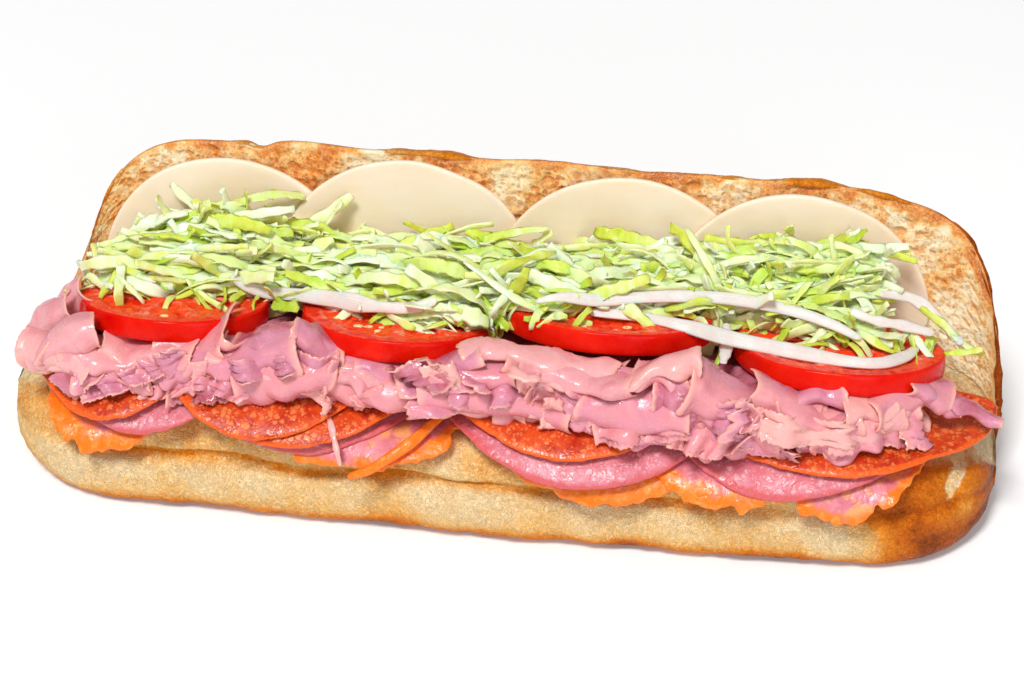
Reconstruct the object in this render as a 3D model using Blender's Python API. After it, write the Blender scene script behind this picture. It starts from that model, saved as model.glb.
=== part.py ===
"""A cold-cut submarine sandwich, hinge-cut and opened like an L.

The lower half of the roll lies flat and its upper half stands behind it, joined along
the back by the uncut crust. Cold cuts, a heap of shaved ham, tomato slices, onion strips
and shredded lettuce fill the corner, and round cheese slices lean on the upper half.
X runs along the roll, -Y is the open front and Z is up. Lengths are in millimetres until
each mesh is made.
"""

import math

import bpy
import numpy as np

MM = 0.001

# Roll
LOWER_LEFT = 153.4
LOWER_RIGHT = 151.4
UPPER_LEFT = 139.5
UPPER_RIGHT = 151.2
CUT_HEIGHT = 32.3
HINGE_Y = 30.0
HINGE_Z = 30.0
OPENING = math.radians(82.0)
UPPER_HEIGHT = 59.3
HINGE_DRAW = 16.0
HINGE_DROP = 9.0
UPPER_DEPTH = 25.0
LOWER_MIDDLE = (3.0, 14.0)

# Cold cuts: every slice follows one sheet that lies on the cut face and droops over the lip
LIP_Y = -28.0
SHEET_Z = 32.4
LIP_RADIUS = 14.0
DROOP = math.radians(62.0)
FOLD_ROWS = (-24.0, -15.1, -10.5, -6.0, -2.0, 3.0, 36.0)
SLICE = 1.3
PITCH = 1.75
CUTS_BACK = 35.0
CUTS_TOP = 12.6

# Cheese
CHEESE_RADIUS = 41.0
CHEESE_LOWER = 9.5
CHEESE_THICK = 1.8
CHEESE_LAP = 0.042
CHEESE_GAP = 0.5

# Tomato
TOMATO_TILT = math.radians(18.0)
TOMATO_THICK = 6.6

GAP = 0.5


def clear_scene():
    for old in list(bpy.data.objects):
        bpy.data.objects.remove(old, do_unlink=True)


def finish(name, colour, roughness, coat=0.0):
    material = bpy.data.materials.new(name)
    material.use_nodes = True
    shader = material.node_tree.nodes["Principled BSDF"]
    shader.inputs["Base Color"].default_value = (*colour, 1.0)
    shader.inputs["Roughness"].default_value = roughness
    shader.inputs["Coat Weight"].default_value = coat
    material.diffuse_color = (*colour, 1.0)
    return material


def solid(name, points, faces, look, smooth=False):
    mesh = bpy.data.meshes.new(name)
    mesh.from_pydata((np.asarray(points) * MM).tolist(), [], faces)
    mesh.materials.append(finish(name, *look))
    if smooth:
        mesh.shade_smooth()
    mesh.update()
    piece = bpy.data.objects.new(name, mesh)
    bpy.context.scene.collection.objects.link(piece)
    return piece


def lofted(name, rings, look, smooth=True):
    """One skin over equal rings, closed by a flat face at either end."""
    count = len(rings[0])
    points = np.concatenate(rings)
    faces = []
    for row in range(len(rings) - 1):
        for i in range(count):
            a = row * count + i
            b = row * count + (i + 1) % count
            faces.append((a, b, b + count, a + count))
    faces.append(tuple(reversed(range(count))))
    faces.append(tuple((len(rings) - 1) * count + i for i in range(count)))
    return solid(name, points, faces, look, smooth)


def smooth_step(low, high, value):
    share = np.clip((value - low) / (high - low), 0.0, 1.0)
    return share * share * (3.0 - 2.0 * share)


def end_fall(t, power, least):
    """How far a half-width has shrunk at a share t of the way to the end."""
    return math.sqrt(max(1.0 - abs(t) ** power, least * least))


# ---------------------------------------------------------------- roll

LOWER_FRONT = (
    (-31.5, 0.0), (-35.6, 1.7), (-37.8, 6.0), (-38.2, 12.5), (-37.0, 18.4), (-34.6, 21.2),
    (-35.0, 23.6), (-33.4, 27.6), (-29.5, 30.8), (-24.5, CUT_HEIGHT), (-5.0, CUT_HEIGHT),
    (18.0, CUT_HEIGHT - 0.3),
)
LOWER_BACK = ((43.0, 23.0), (41.2, 16.5), (38.5, 8.0), (33.0, 1.8), (26.0, 0.0))
FACE_SHARES = (0.04, 0.2, 0.45, 0.75, 0.93)
DOME_ANGLES = (0.0, 16.0, 34.0, 54.0, 78.0, 105.0, 128.0, 141.0)
DOME_POWER = 1.45


def lower_point(y, z, t):
    """A point of the lower half, drawn in towards the middle as the roll rounds off."""
    middle_y, middle_z = LOWER_MIDDLE
    blunt = 6.8 if t > 0.0 else 10.0
    wide = end_fall(t, blunt, 0.15) if y < middle_y else end_fall(t, 14.0, 0.25)
    tall = end_fall(t, 14.0, 0.2)
    reach = LOWER_RIGHT if t > 0.0 else LOWER_LEFT
    return (t * reach, middle_y + (y - middle_y) * wide, middle_z + (z - middle_z) * tall)


def upper_point(along, deep, t):
    """A point of the upper half: along its cut face from the hinge, and deep behind it."""
    reach = UPPER_RIGHT if t > 0.0 else UPPER_LEFT
    lower_reach = LOWER_RIGHT if t > 0.0 else LOWER_LEFT
    base = (t * lower_reach, HINGE_Y - HINGE_DRAW * abs(t) ** 24.0, HINGE_Z - HINGE_DROP * abs(t) ** 24.0)
    along *= end_fall(t, 9.5, 0.15)
    deep *= end_fall(t, 5.0, 0.22)
    out = np.array((math.cos(OPENING), math.sin(OPENING)))
    back = np.array((math.sin(OPENING), -math.cos(OPENING)))
    y, z = np.array(base[1:]) + along * out + deep * back
    share = smooth_step(0.0, 14.0, along + deep)
    x = base[0] + (t * reach - base[0]) * share
    return (x, y, z)


def roll_ring(t):
    ring = [lower_point(y, z, t) for y, z in LOWER_FRONT]
    ring += [upper_point(share * UPPER_HEIGHT, 0.0, t) for share in FACE_SHARES]
    for angle in DOME_ANGLES:
        turn = math.radians(angle)
        along = 0.5 * UPPER_HEIGHT * (1.0 + math.cos(turn))
        deep = UPPER_DEPTH * math.sin(turn) ** (DOME_POWER if angle < 90.0 else 1.0)
        ring.append(upper_point(along, deep, t))
    ring += [lower_point(y, z, t) for y, z in LOWER_BACK]
    return np.array(ring)


def make_roll():
    stations = np.sin(np.linspace(-1.0, 1.0, 27) * math.pi / 2.0)
    lofted("roll", [roll_ring(t)[::-1] for t in stations], ((0.78, 0.55, 0.29), 0.75))


# ---------------------------------------------------------------- cold cuts


def sheet_ripple(u):
    """The slow rise and fall that all the slices share."""
    return 0.45 * np.sin(u / 15.0 + 0.8) + 0.25 * np.sin(u / 8.3 + 2.1) + 0.7


def sheet_rows():
    """The sheet's fold rows in section, and the way each moves per millimetre of height."""
    v = np.array(FOLD_ROWS)
    bend = np.clip(-v / LIP_RADIUS, 0.0, DROOP)
    past = np.maximum(-v - LIP_RADIUS * DROOP, 0.0)
    y = LIP_Y + np.where(v > 0.0, v, -LIP_RADIUS * np.sin(bend) - past * np.cos(bend))
    z = SHEET_Z - LIP_RADIUS * (1.0 - np.cos(bend)) - past * np.sin(bend)
    rows = np.stack([y, z], axis=1)
    run = np.diff(rows, axis=0)
    run /= np.linalg.norm(run, axis=1)[:, None]
    normal = np.stack([-run[:, 1], run[:, 0]], axis=1)
    before = np.concatenate([normal[:1], normal])
    after = np.concatenate([normal, normal[-1:]])
    lift = (before + after) / (1.0 + (before * after).sum(axis=1))[:, None]
    return rows, lift


SHEET, SHEET_LIFT = sheet_rows()


def on_sheet(u, v, height):
    y = np.interp(v, FOLD_ROWS, SHEET[:, 0]) + height * np.interp(v, FOLD_ROWS, SHEET_LIFT[:, 0])
    z = np.interp(v, FOLD_ROWS, SHEET[:, 1]) + height * np.interp(v, FOLD_ROWS, SHEET_LIFT[:, 1])
    return np.stack([u + 0.0 * v, y, z + sheet_ripple(u)], axis=-1)


def make_slice(name, look, centre, half_wide, front, level, columns=8, thick=SLICE):
    """One thin oval slice: front is how far it reaches past the lip, level its layer."""
    middle = front + 33.0
    inner = [v for v in FOLD_ROWS if front + 2.2 < v < CUTS_BACK - 4.0]
    rows = np.array([front, front + 1.4] + inner + [18.0, CUTS_BACK - 4.0, CUTS_BACK])
    rows = np.unique(rows)
    deep = np.where(rows < middle, 33.0 * 1.03, (CUTS_BACK - middle) * 1.06)
    chord = half_wide * np.sqrt(np.maximum(1.0 - ((rows - middle) / deep) ** 2, 0.0))
    across = np.sin(np.linspace(-1.0, 1.0, columns) * math.pi / 2.0)
    u = centre + chord[:, None] * across[None, :]
    v = rows[:, None] + 0.0 * u
    under = on_sheet(u, v, level(u))
    over = on_sheet(u, v, level(u) + thick)
    count = u.size
    points = np.concatenate([under.reshape(-1, 3), over.reshape(-1, 3)])
    faces = []
    index = np.arange(count).reshape(u.shape)
    for r in range(len(rows) - 1):
        for c in range(columns - 1):
            a, b = index[r, c], index[r, c + 1]
            d, e = index[r + 1, c], index[r + 1, c + 1]
            faces.append((a, d, e, b))
            faces.append((a + count, b + count, e + count, d + count))
    rim = list(index[0, :]) + list(index[1:, -1]) + list(index[-1, -2::-1]) + list(index[-2:0:-1, 0])
    for i, a in enumerate(rim):
        b = rim[(i + 1) % len(rim)]
        faces.append((a, b, b + count, a + count))
    return solid(name, points, [tuple(int(i) for i in f) for f in faces], look)


def flat_level(layer):
    return lambda u: 0.4 + PITCH * layer + 0.0 * u


def rising_level(layer, start, stop):
    """A layer that climbs one step to the right of start, or comes down when stop < start."""
    return lambda u: 0.4 + PITCH * (layer + smooth_step(start, stop, u))


def falling_level(layer, start, stop):
    return lambda u: 0.4 + PITCH * (layer + 1.0 - smooth_step(start, stop, u))


CAPICOLA = ((0.75, 0.30, 0.12), 0.4, 0.3)
SALAMI = ((0.72, 0.36, 0.37), 0.4, 0.3)
PEPPERONI = ((0.66, 0.13, 0.05), 0.38, 0.4)

CUTS = (
    ("capicola_1", CAPICOLA, -116.0, 25.5, -16.5, flat_level(0)),
    ("capicola_2", CAPICOLA, -41.0, 38.0, -14.5, flat_level(1)),
    ("capicola_3", CAPICOLA, 31.5, 39.0, -19.2, flat_level(0)),
    ("capicola_4", CAPICOLA, 73.0, 36.0, -14.5, flat_level(1)),
    ("capicola_5", CAPICOLA, 104.5, 31.0, -17.0, flat_level(0)),
    ("salami_1", SALAMI, -105.5, 37.0, -10.3, flat_level(3)),
    ("salami_2", SALAMI, -61.0, 43.0, -11.6, flat_level(2)),
    ("salami_3", SALAMI, 27.0, 47.0, -13.2, flat_level(3)),
    ("salami_4", SALAMI, 89.0, 46.0, -11.2, flat_level(2)),
    ("pepperoni_1", PEPPERONI, -114.0, 31.5, -8.6, rising_level(4, -124.0, -108.0)),
    ("pepperoni_2", PEPPERONI, -69.0, 40.0, -10.2, falling_level(5, -82.0, -62.0)),
    ("pepperoni_3", PEPPERONI, -60.0, 43.0, -10.6, flat_level(4)),
    ("pepperoni_4", PEPPERONI, 22.0, 45.0, -8.4, flat_level(5)),
    ("pepperoni_5", PEPPERONI, 99.0, 51.0, -6.6, flat_level(4)),
)


def make_cuts():
    for name, look, centre, half_wide, front, level in CUTS:
        make_slice(name, look, centre, half_wide, front, level)


# ---------------------------------------------------------------- tomato

# Middle along the roll, half-width, half-depth, front edge of the underside (y, z)
TOMATOES = (
    (-101.0, 29.5, 25.6, -27.6, 58.8),
    (-31.0, 30.0, 25.8, -27.6, 58.8),
    (31.5, 31.5, 23.0, -21.2, 63.3),
    (100.5, 31.0, 25.8, -27.2, 60.7),
)


def tomato_underside(tomato, y):
    """Height of a slice's underside plane at y."""
    return tomato[4] - (y - tomato[3]) * math.tan(TOMATO_TILT)


def tomato_face(tomato, y):
    return tomato_underside(tomato, y) + TOMATO_THICK / math.cos(TOMATO_TILT)


def make_tomatoes():
    """Round-edged oval discs, each turned so that its face tips away from the front."""
    turn = np.linspace(0.0, 2.0 * math.pi, 31)[:-1]
    edge = ((0.0, 1.2), (1.3, 0.25), (TOMATO_THICK - 1.3, 0.0), (TOMATO_THICK, 0.7))
    for number, (x, wide, deep, front_y, front_z) in enumerate(TOMATOES, 1):
        rings = []
        for height, shrink in edge:
            side, depth = (wide - shrink) * np.cos(turn), (deep - shrink) * np.sin(turn)
            rings.append(np.stack([side, depth, height + 0.0 * turn], axis=1))
        piece = lofted(f"tomato_{number}", rings, ((0.72, 0.07, 0.03), 0.25, 0.5))
        middle_y = front_y + deep * math.cos(TOMATO_TILT)
        middle_z = front_z - deep * math.sin(TOMATO_TILT)
        piece.location = (x * MM, middle_y * MM, middle_z * MM)
        piece.rotation_euler.x = -TOMATO_TILT


# ---------------------------------------------------------------- cheese

# Middle along the roll and height of the highest point
CHEESES = ((-91.0, 83.6), (-34.5, 87.6), (33.0, 87.6), (86.5, 86.6))


def make_cheeses():
    """Flat slices on the upper half's cut face, each turned a little to lap over the one on its left."""
    turn = np.linspace(0.0, 2.0 * math.pi, 33)[:-1]
    up_face = np.array((0.0, math.cos(OPENING), math.sin(OPENING)))
    off_face = np.array((0.0, -math.sin(OPENING), math.cos(OPENING)))
    lap = math.atan(CHEESE_LAP)
    for number, (x, top) in enumerate(CHEESES, 1):
        tall = np.where(np.sin(turn) > 0.0, CHEESE_RADIUS, CHEESE_LOWER)
        rings = []
        for height, shrink in ((0.0, 0.994), (CHEESE_THICK, 1.0)):
            side, along = CHEESE_RADIUS * shrink * np.cos(turn), tall * shrink * np.sin(turn)
            rings.append(np.stack([side, along, height + 0.0 * turn], axis=1))
        piece = lofted(f"cheese_{number}", rings, ((0.93, 0.88, 0.72), 0.35, 0.2), smooth=False)
        middle = (top - HINGE_Z) / math.sin(OPENING) - CHEESE_RADIUS
        lift = CHEESE_GAP + CHEESE_RADIUS * CHEESE_LAP
        place = np.array((x, HINGE_Y, HINGE_Z)) + middle * up_face + lift * off_face
        piece.location = place * MM
        piece.rotation_mode = "YXZ"
        piece.rotation_euler = (OPENING, lap, 0.0)


# ---------------------------------------------------------------- shaved ham

HAM_LEFT, HAM_RIGHT = -147.0, 150.0
HAM_BACK = 24.5
HAM_MIDDLE_Y = 6.0

# Where the heap's front ridge stands along the roll, and its height
HAM_RIDGE = (
    (-148.0, 48.0), (-138.0, 54.0), (-125.0, 60.5), (-108.0, 56.5), (-86.0, 59.5), (-66.0, 65.5),
    (-54.0, 65.0), (-44.0, 59.0), (-27.0, 57.5), (-12.0, 62.5), (0.0, 67.0), (20.0, 66.5),
    (43.0, 67.0), (60.0, 69.5), (72.0, 66.5), (84.0, 62.0), (98.0, 60.0), (113.0, 60.0),
    (126.0, 63.5), (138.0, 58.5), (150.0, 51.0),
)


def over_tomatoes(x, reach, height_of, choose, empty):
    """The chosen height among the tomato slices within reach of x."""
    found = [height_of(t) for t in TOMATOES if abs(x - t[0]) < t[1] + reach]
    return choose(found) if found else empty


def ham_ring(x):
    share = (x - 0.5 * (HAM_LEFT + HAM_RIGHT)) / (0.5 * (HAM_RIGHT - HAM_LEFT))
    tall = end_fall(share, 9.0, 0.25)
    wide, rear_wide = end_fall(share, 9.0, 0.3), end_fall(share, 4.0, 0.3)
    ripple = float(sheet_ripple(x))
    floor = SHEET_Z + CUTS_TOP + ripple
    front = -32.0 - 3.2 * math.exp(-(((x - 62.0) / 34.0) ** 2)) + 0.9 * math.sin(x / 9.0)
    ridge = float(np.interp(x, *zip(*HAM_RIDGE))) + 0.7 * math.sin(x / 6.1)

    def top(y):
        under = over_tomatoes(x, 6.5, lambda t: tomato_underside(t, y) - GAP, min, 60.0 - 0.3 * (y + 25.0))
        return under - 0.12 * (1.0 + math.sin(x / 5.3 + 0.4 * y))

    def drawn_in(y):
        return HAM_MIDDLE_Y + (y - HAM_MIDDLE_Y) * (wide if y < HAM_MIDDLE_Y else rear_wide)

    front, rear, shelf, crest = drawn_in(front), drawn_in(HAM_BACK), drawn_in(8.0), drawn_in(-28.3)
    foot = floor - (floor - 35.0 - ripple) * float(smooth_step(0.72, 0.95, rear_wide))
    inner, outer = 0.5 * (crest + shelf), 0.5 * (front + shelf)
    profile = (
        (front + wide, floor), (outer, floor + 0.2), (shelf, floor), (shelf + 0.6 * rear_wide, foot),
        (rear - 4.0 * rear_wide, foot), (rear, foot + 3.0), (rear, top(rear)), (shelf, top(shelf)),
        (inner, top(inner)), (crest, top(crest)), (crest - 2.2 * wide, ridge - 1.2),
        (crest - 4.0 * wide, ridge), (front - 0.6, 0.5 * (ridge + floor) + 1.0), (front - 0.4, floor + 2.6),
    )
    middle_z = floor + 1.5
    return np.array([(x, y, middle_z + (z - middle_z) * tall) for y, z in profile])


def make_ham():
    stations = np.linspace(HAM_LEFT, HAM_RIGHT, 34)
    rings = [ham_ring(x) for x in stations]
    lofted("ham", rings, ((0.80, 0.45, 0.47), 0.35, 0.3))


# ---------------------------------------------------------------- lettuce

LETTUCE_LEFT, LETTUCE_RIGHT = -134.0, 138.0

# Height of the heap against the cheese, and where its front edge lies, along the roll
LETTUCE_TOPS = (
    (-134.0, 60.0), (-120.0, 63.5), (-108.0, 68.5), (-86.0, 71.5), (-62.0, 65.5), (-36.0, 65.5),
    (-10.0, 68.5), (14.0, 68.5), (56.0, 70.0), (76.0, 74.5), (104.0, 77.0), (120.0, 71.0), (138.0, 62.0),
)
LETTUCE_FRONTS = (
    (-134.0, 4.0), (-122.0, -6.0), (-111.0, -9.5), (-91.0, -5.0), (-74.0, 5.0), (-53.0, 0.0),
    (-30.0, -7.5), (-14.0, -8.0), (0.0, -5.5), (17.0, -8.0), (34.0, 0.0), (58.0, 2.5),
    (77.0, 3.5), (96.0, -0.5), (112.0, -0.5), (128.0, 3.0), (138.0, 8.0),
)


def lettuce_ring(x):
    share = (x - 0.5 * (LETTUCE_LEFT + LETTUCE_RIGHT)) / (0.5 * (LETTUCE_RIGHT - LETTUCE_LEFT))
    tall = end_fall(share, 7.0, 0.35)
    front = np.interp(x, *zip(*LETTUCE_FRONTS)) + 0.8 * math.sin(x / 3.9 + 1.0)
    top = np.interp(x, *zip(*LETTUCE_TOPS)) + 1.1 * math.sin(x / 4.6)

    def bed(y):
        face = over_tomatoes(x, 6.5, lambda t: tomato_face(t, y) + GAP, max, 66.0 - 0.325 * (y + 25.0))
        return face + 0.12 * (1.0 + math.sin(x / 5.3 + 0.4 * y))

    deep = 25.6 - front
    profile = (
        (front, bed(front)), (front - 1.2, bed(front) + 3.2), (front + 0.12 * deep, bed(front) + 6.6),
        (front + 0.42 * deep, 0.5 * (top + bed(front) + 7.0)), (front + 0.78 * deep, top - 1.0),
        (26.6, top), (25.6, bed(25.6) + 3.0), (22.5, bed(22.5)), (front + 0.5 * deep, bed(front + 0.5 * deep)),
    )
    return np.array([(x, y, bed(y) + (z - bed(y)) * tall) for y, z in profile])


def make_lettuce():
    stations = np.linspace(LETTUCE_LEFT, LETTUCE_RIGHT, 36)
    rings = [lettuce_ring(x)[::-1] for x in stations]
    lofted("lettuce", rings, ((0.72, 0.80, 0.42), 0.45, 0.2))


# ---------------------------------------------------------------- onion strips

ONION_THICK = 1.2

# Width, the way the flat side faces, and where the middle of the strip passes
ONIONS = (
    (4.2, (0.0, -0.75, 0.66), (
        (-82.8, -1.2, 65.6), (-78.0, -1.4, 62.4), (-71.5, -0.6, 60.2), (-62.0, -1.9, 61.3),
        (-49.0, -4.6, 62.8), (-35.8, -9.4, 65.2), (-25.3, -9.6, 66.3), (-18.7, -8.0, 68.6),
    )),
    (3.6, (0.0, -0.6, 0.8), (
        (11.1, -10.2, 72.8), (18.5, -8.4, 73.8), (28.9, -4.8, 71.2), (41.0, -2.0, 71.3), (55.6, 0.8, 71.2),
        (70.4, 2.0, 70.4), (85.3, 1.9, 68.3), (97.3, -1.2, 67.0), (106.6, -5.0, 65.1),
    )),
    (3.5, (0.0, 0.15, 0.98), (
        (26.5, -6.0, 67.3), (34.0, -5.4, 67.1), (42.5, -5.8, 67.1), (55.7, -9.6, 67.9), (70.5, -9.1, 64.2),
        (88.3, -13.3, 64.9), (102.3, -17.3, 66.2), (112.3, -16.5, 65.9), (119.6, -9.2, 63.5),
        (122.4, -3.4, 61.8), (123.2, -0.6, 61.2),
    )),
    (3.3, (0.0, 0.1, 1.0), ((67.0, 0.0, 62.9), (67.6, -8.0, 60.6), (67.2, -16.0, 60.2))),
    (3.2, (0.0, -0.6, 0.8), (
        (111.2, 9.4, 71.4), (119.3, 12.2, 69.2), (125.5, 11.4, 66.4), (131.1, 6.9, 63.5), (136.4, 3.0, 60.2),
    )),
    (3.0, (0.0, -0.6, 0.8), ((103.0, 2.4, 69.6), (110.0, 0.7, 68.2), (118.6, 1.0, 66.9), (128.0, 2.4, 63.8))),
)


def smooth_path(points, between=2):
    """More points along a curve that passes through all the given ones."""
    known = np.array(points)
    padded = np.concatenate([[2 * known[0] - known[1]], known, [2 * known[-1] - known[-2]]])
    path = []
    for a, b, c, d in zip(padded, padded[1:], padded[2:], padded[3:]):
        for step in range(between):
            t = step / between
            path.append(0.5 * (2 * b + (c - a) * t + (2 * a - 5 * b + 4 * c - d) * t**2
                               + (3 * b - a - 3 * c + d) * t**3))
    path.append(known[-1])
    return np.array(path)


def make_onions():
    for number, (width, facing, points) in enumerate(ONIONS, 1):
        path = smooth_path(points)
        along = np.gradient(path, axis=0)
        along /= np.linalg.norm(along, axis=1)[:, None]
        side = np.cross(along, facing)
        side /= np.linalg.norm(side, axis=1)[:, None]
        flat = np.cross(side, along)
        across = 0.5 * width * side
        deep = 0.5 * ONION_THICK * flat
        corners = np.stack([path - across + deep, path + across + deep, path + across - deep, path - across - deep])
        rings = list(np.swapaxes(corners, 0, 1))
        lofted(f"onion_{number}", rings, ((0.93, 0.90, 0.86), 0.2, 0.4), smooth=False)


def centre_on_floor():
    """Hangs every piece on one empty, placed so that the bottom centre of the whole is the origin."""
    pieces = list(bpy.context.scene.collection.objects)
    bpy.context.view_layer.update()
    points = np.array([piece.matrix_world @ v.co for piece in pieces for v in piece.data.vertices])
    low, high = points.min(axis=0), points.max(axis=0)
    sandwich = bpy.data.objects.new("sandwich", None)
    bpy.context.scene.collection.objects.link(sandwich)
    sandwich.location = (-0.5 * (low[0] + high[0]), -0.5 * (low[1] + high[1]), -low[2])
    for piece in pieces:
        piece.parent = sandwich


def main():
    clear_scene()
    make_roll()
    make_cuts()
    make_tomatoes()
    make_cheeses()
    make_ham()
    make_lettuce()
    make_onions()
    centre_on_floor()


main()
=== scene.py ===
"""Finishes a cold-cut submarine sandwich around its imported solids.

Every piece is worked out in millimetres in the sandwich's own layout (X along the roll, -Y
the open front, Z up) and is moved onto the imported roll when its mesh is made.
"""

import math

import bpy
import numpy as np
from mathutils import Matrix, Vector


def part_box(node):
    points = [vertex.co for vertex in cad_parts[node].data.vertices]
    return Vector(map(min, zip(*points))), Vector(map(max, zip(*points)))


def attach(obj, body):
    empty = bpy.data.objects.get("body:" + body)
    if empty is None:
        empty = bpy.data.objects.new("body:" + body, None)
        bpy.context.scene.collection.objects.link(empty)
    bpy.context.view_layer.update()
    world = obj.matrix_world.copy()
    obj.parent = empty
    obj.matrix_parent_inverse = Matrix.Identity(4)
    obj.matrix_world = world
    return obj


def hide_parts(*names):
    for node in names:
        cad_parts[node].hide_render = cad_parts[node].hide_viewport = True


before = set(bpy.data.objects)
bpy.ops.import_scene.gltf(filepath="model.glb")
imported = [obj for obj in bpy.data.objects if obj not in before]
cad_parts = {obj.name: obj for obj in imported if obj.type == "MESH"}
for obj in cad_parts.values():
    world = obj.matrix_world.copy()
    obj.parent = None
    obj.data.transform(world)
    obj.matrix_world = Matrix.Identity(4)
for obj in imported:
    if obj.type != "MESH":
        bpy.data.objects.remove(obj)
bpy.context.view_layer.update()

bl_info = {
    "name": "Cold-cut submarine sandwich",
    "version": (1, 0, 0),
    "blender": (4, 5, 0),
    "location": "View3D > Sidebar > Sandwich",
    "description": "Builds a hinge-cut roll with cold cuts, ham, tomato, onion, lettuce and cheese",
    "category": "Add Mesh",
}

MM = 0.001
# A whole turn in radians, and the range that random phases are drawn from
WHOLE_TURN = 6.283
PHASES = 6.3
ROLL_LOW, ROLL_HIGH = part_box("roll")

# ---------------------------------------------------------------- layout of the sandwich

LOWER_LEFT, LOWER_RIGHT, LEFT_SWELL = 153.4, 151.4, 2.0
UPPER_LEFT, UPPER_RIGHT = 139.5, 151.2
ROLL_BACK = 59.0
HINGE_Y, HINGE_Z = 30.0, 30.0
HINGE_DRAW, HINGE_DROP = 16.0, 9.0
OPENING = math.radians(82.0)
UPPER_HEIGHT, UPPER_DEPTH, FACE_TOP, FACE_SIDE = 59.3, 25.0, 0.992, 0.998
DOME_POWER = 1.45
NOTCH_X = -81.0
LOWER_MIDDLE = (3.0, 14.0)
# How the upper half's height and depth shrink towards its ends, as end_fall reads them
HEIGHT_FALL, DEPTH_FALL = (9.5, 0.15), (5.0, 0.22)

LIP_Y, SHEET_Z, LIP_RADIUS = -28.0, 32.4, 14.0
DROOP = math.radians(62.0)
PITCH = 1.75
CUTS_BACK, CUTS_TOP = 35.0, 12.6

TOMATO_TILT = math.radians(18.0)

# Where the layout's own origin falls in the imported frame
ORIGIN = np.array((ROLL_LOW.x / MM + LOWER_LEFT, ROLL_HIGH.y / MM - ROLL_BACK, 0.0))


# ---------------------------------------------------------------- whole-array helpers


def smooth_step(low, high, value):
    """0 below low, 1 above high, and 3s^2 - 2s^3 of the share s between."""
    share = np.clip((value - low) / (high - low), 0.0, 1.0)
    return share * share * (3.0 - 2.0 * share)


def bump_at(value, middle, width):
    """A bell curve: 1 at the middle, 0.37 one width away."""
    return np.exp(-(((value - middle) / width) ** 2))


def unit(vectors):
    return vectors / np.maximum(np.linalg.norm(vectors, axis=-1, keepdims=True), 1e-9)


def drift(points, size, seed, octaves=2):
    """Smooth unevenness of about -1 to 1: six sine waves along random directions for each
    octave, every octave half as long and half as strong as the one before."""
    rng = np.random.default_rng(seed)
    points = np.asarray(points, float)
    total = np.zeros(points.shape[:-1])
    strength = 0.5
    for octave in range(octaves):
        for _ in range(6):
            way = unit(rng.normal(size=points.shape[-1]))
            length = size * (0.75 + 0.6 * rng.random()) / 2.0**octave
            total += strength * np.sin(points @ way * (2.0 * math.pi / length) + 7.0 * rng.random())
        strength *= 0.5
    return total


def through(rows, counts):
    """Closed Catmull-Rom curves through the points on axis 1, with counts[i] steps on span i."""
    number = rows.shape[1]
    span = np.repeat(np.arange(number), counts)
    f = np.concatenate([np.arange(k) / k for k in counts])[:, None]
    a, b, c, d = (rows[:, (span + k) % number] for k in (-1, 0, 1, 2))
    curve = 2.0 * b + (c - a) * f + (2.0 * a - 5.0 * b + 4.0 * c - d) * f**2
    return 0.5 * (curve + (3.0 * b - a - 3.0 * c + d) * f**3)


def path_through(points, count):
    """A Catmull-Rom curve through the points, cut into evenly spaced places."""
    known = np.asarray(points, float)
    padded = np.vstack([2.0 * known[0] - known[1], known, 2.0 * known[-1] - known[-2]])
    t = np.linspace(0.0, len(known) - 1.0, 24 * len(known))
    i = np.minimum(t.astype(int), len(known) - 2)
    f = (t - i)[:, None]
    a, b, c, d = padded[i], padded[i + 1], padded[i + 2], padded[i + 3]
    curve = 2.0 * b + (c - a) * f + (2.0 * a - 5.0 * b + 4.0 * c - d) * f**2
    curve = 0.5 * (curve + (3.0 * b - a - 3.0 * c + d) * f**3)
    run = np.concatenate([[0.0], np.cumsum(np.linalg.norm(np.diff(curve, axis=0), axis=1))])
    even = np.linspace(0.0, run[-1], count)
    return np.stack([np.interp(even, run, curve[:, k]) for k in range(known.shape[1])], axis=1)


def grid_faces(rows, columns, wrap):
    """Quads between neighbouring places of a grid, joined round its rows when wrap is true."""
    index = np.arange(rows * columns).reshape(rows, columns)
    if wrap:
        index = np.concatenate([index, index[:, :1]], axis=1)
    corners = (index[:-1, :-1], index[:-1, 1:], index[1:, 1:], index[1:, :-1])
    return np.stack(corners, axis=-1).reshape(-1, 4)


def repeated(faces, copies, stride):
    shifts = (np.arange(copies) * stride)[:, None, None]
    return (faces[None] + shifts).reshape(-1, faces.shape[1])


def closed_rings(rings):
    """One skin over rings of equal count, both ends closed by a fan to the ring's middle.
    The last axis holds x, y, z and then any values that the material reads. A further first
    axis holds separate skins."""
    rings = rings if rings.ndim == 4 else rings[None]
    copies, rows, columns, width = rings.shape
    ends = rings[:, (0, rows - 1)].mean(axis=2)
    points = np.concatenate([rings.reshape(copies, -1, width), ends], axis=1)
    ring = np.arange(columns)
    following = np.roll(ring, -1)
    last = (rows - 1) * columns
    first_fan = np.stack([0 * ring + rows * columns, following, ring], axis=1)
    last_fan = np.stack([0 * ring + rows * columns + 1, last + ring, last + following], axis=1)
    fans = np.concatenate([first_fan, last_fan])
    stride = rows * columns + 2
    quads = repeated(grid_faces(rows, columns, True), copies, stride)
    return points.reshape(-1, width), quads, repeated(fans, copies, stride)


def grid_normals(grid):
    """Unit normals of grids whose rows and columns lie on the last two axes but one."""
    down = np.gradient(grid[..., :3], axis=-3)
    across = np.gradient(grid[..., :3], axis=-2)
    return unit(np.cross(down, across))


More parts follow.
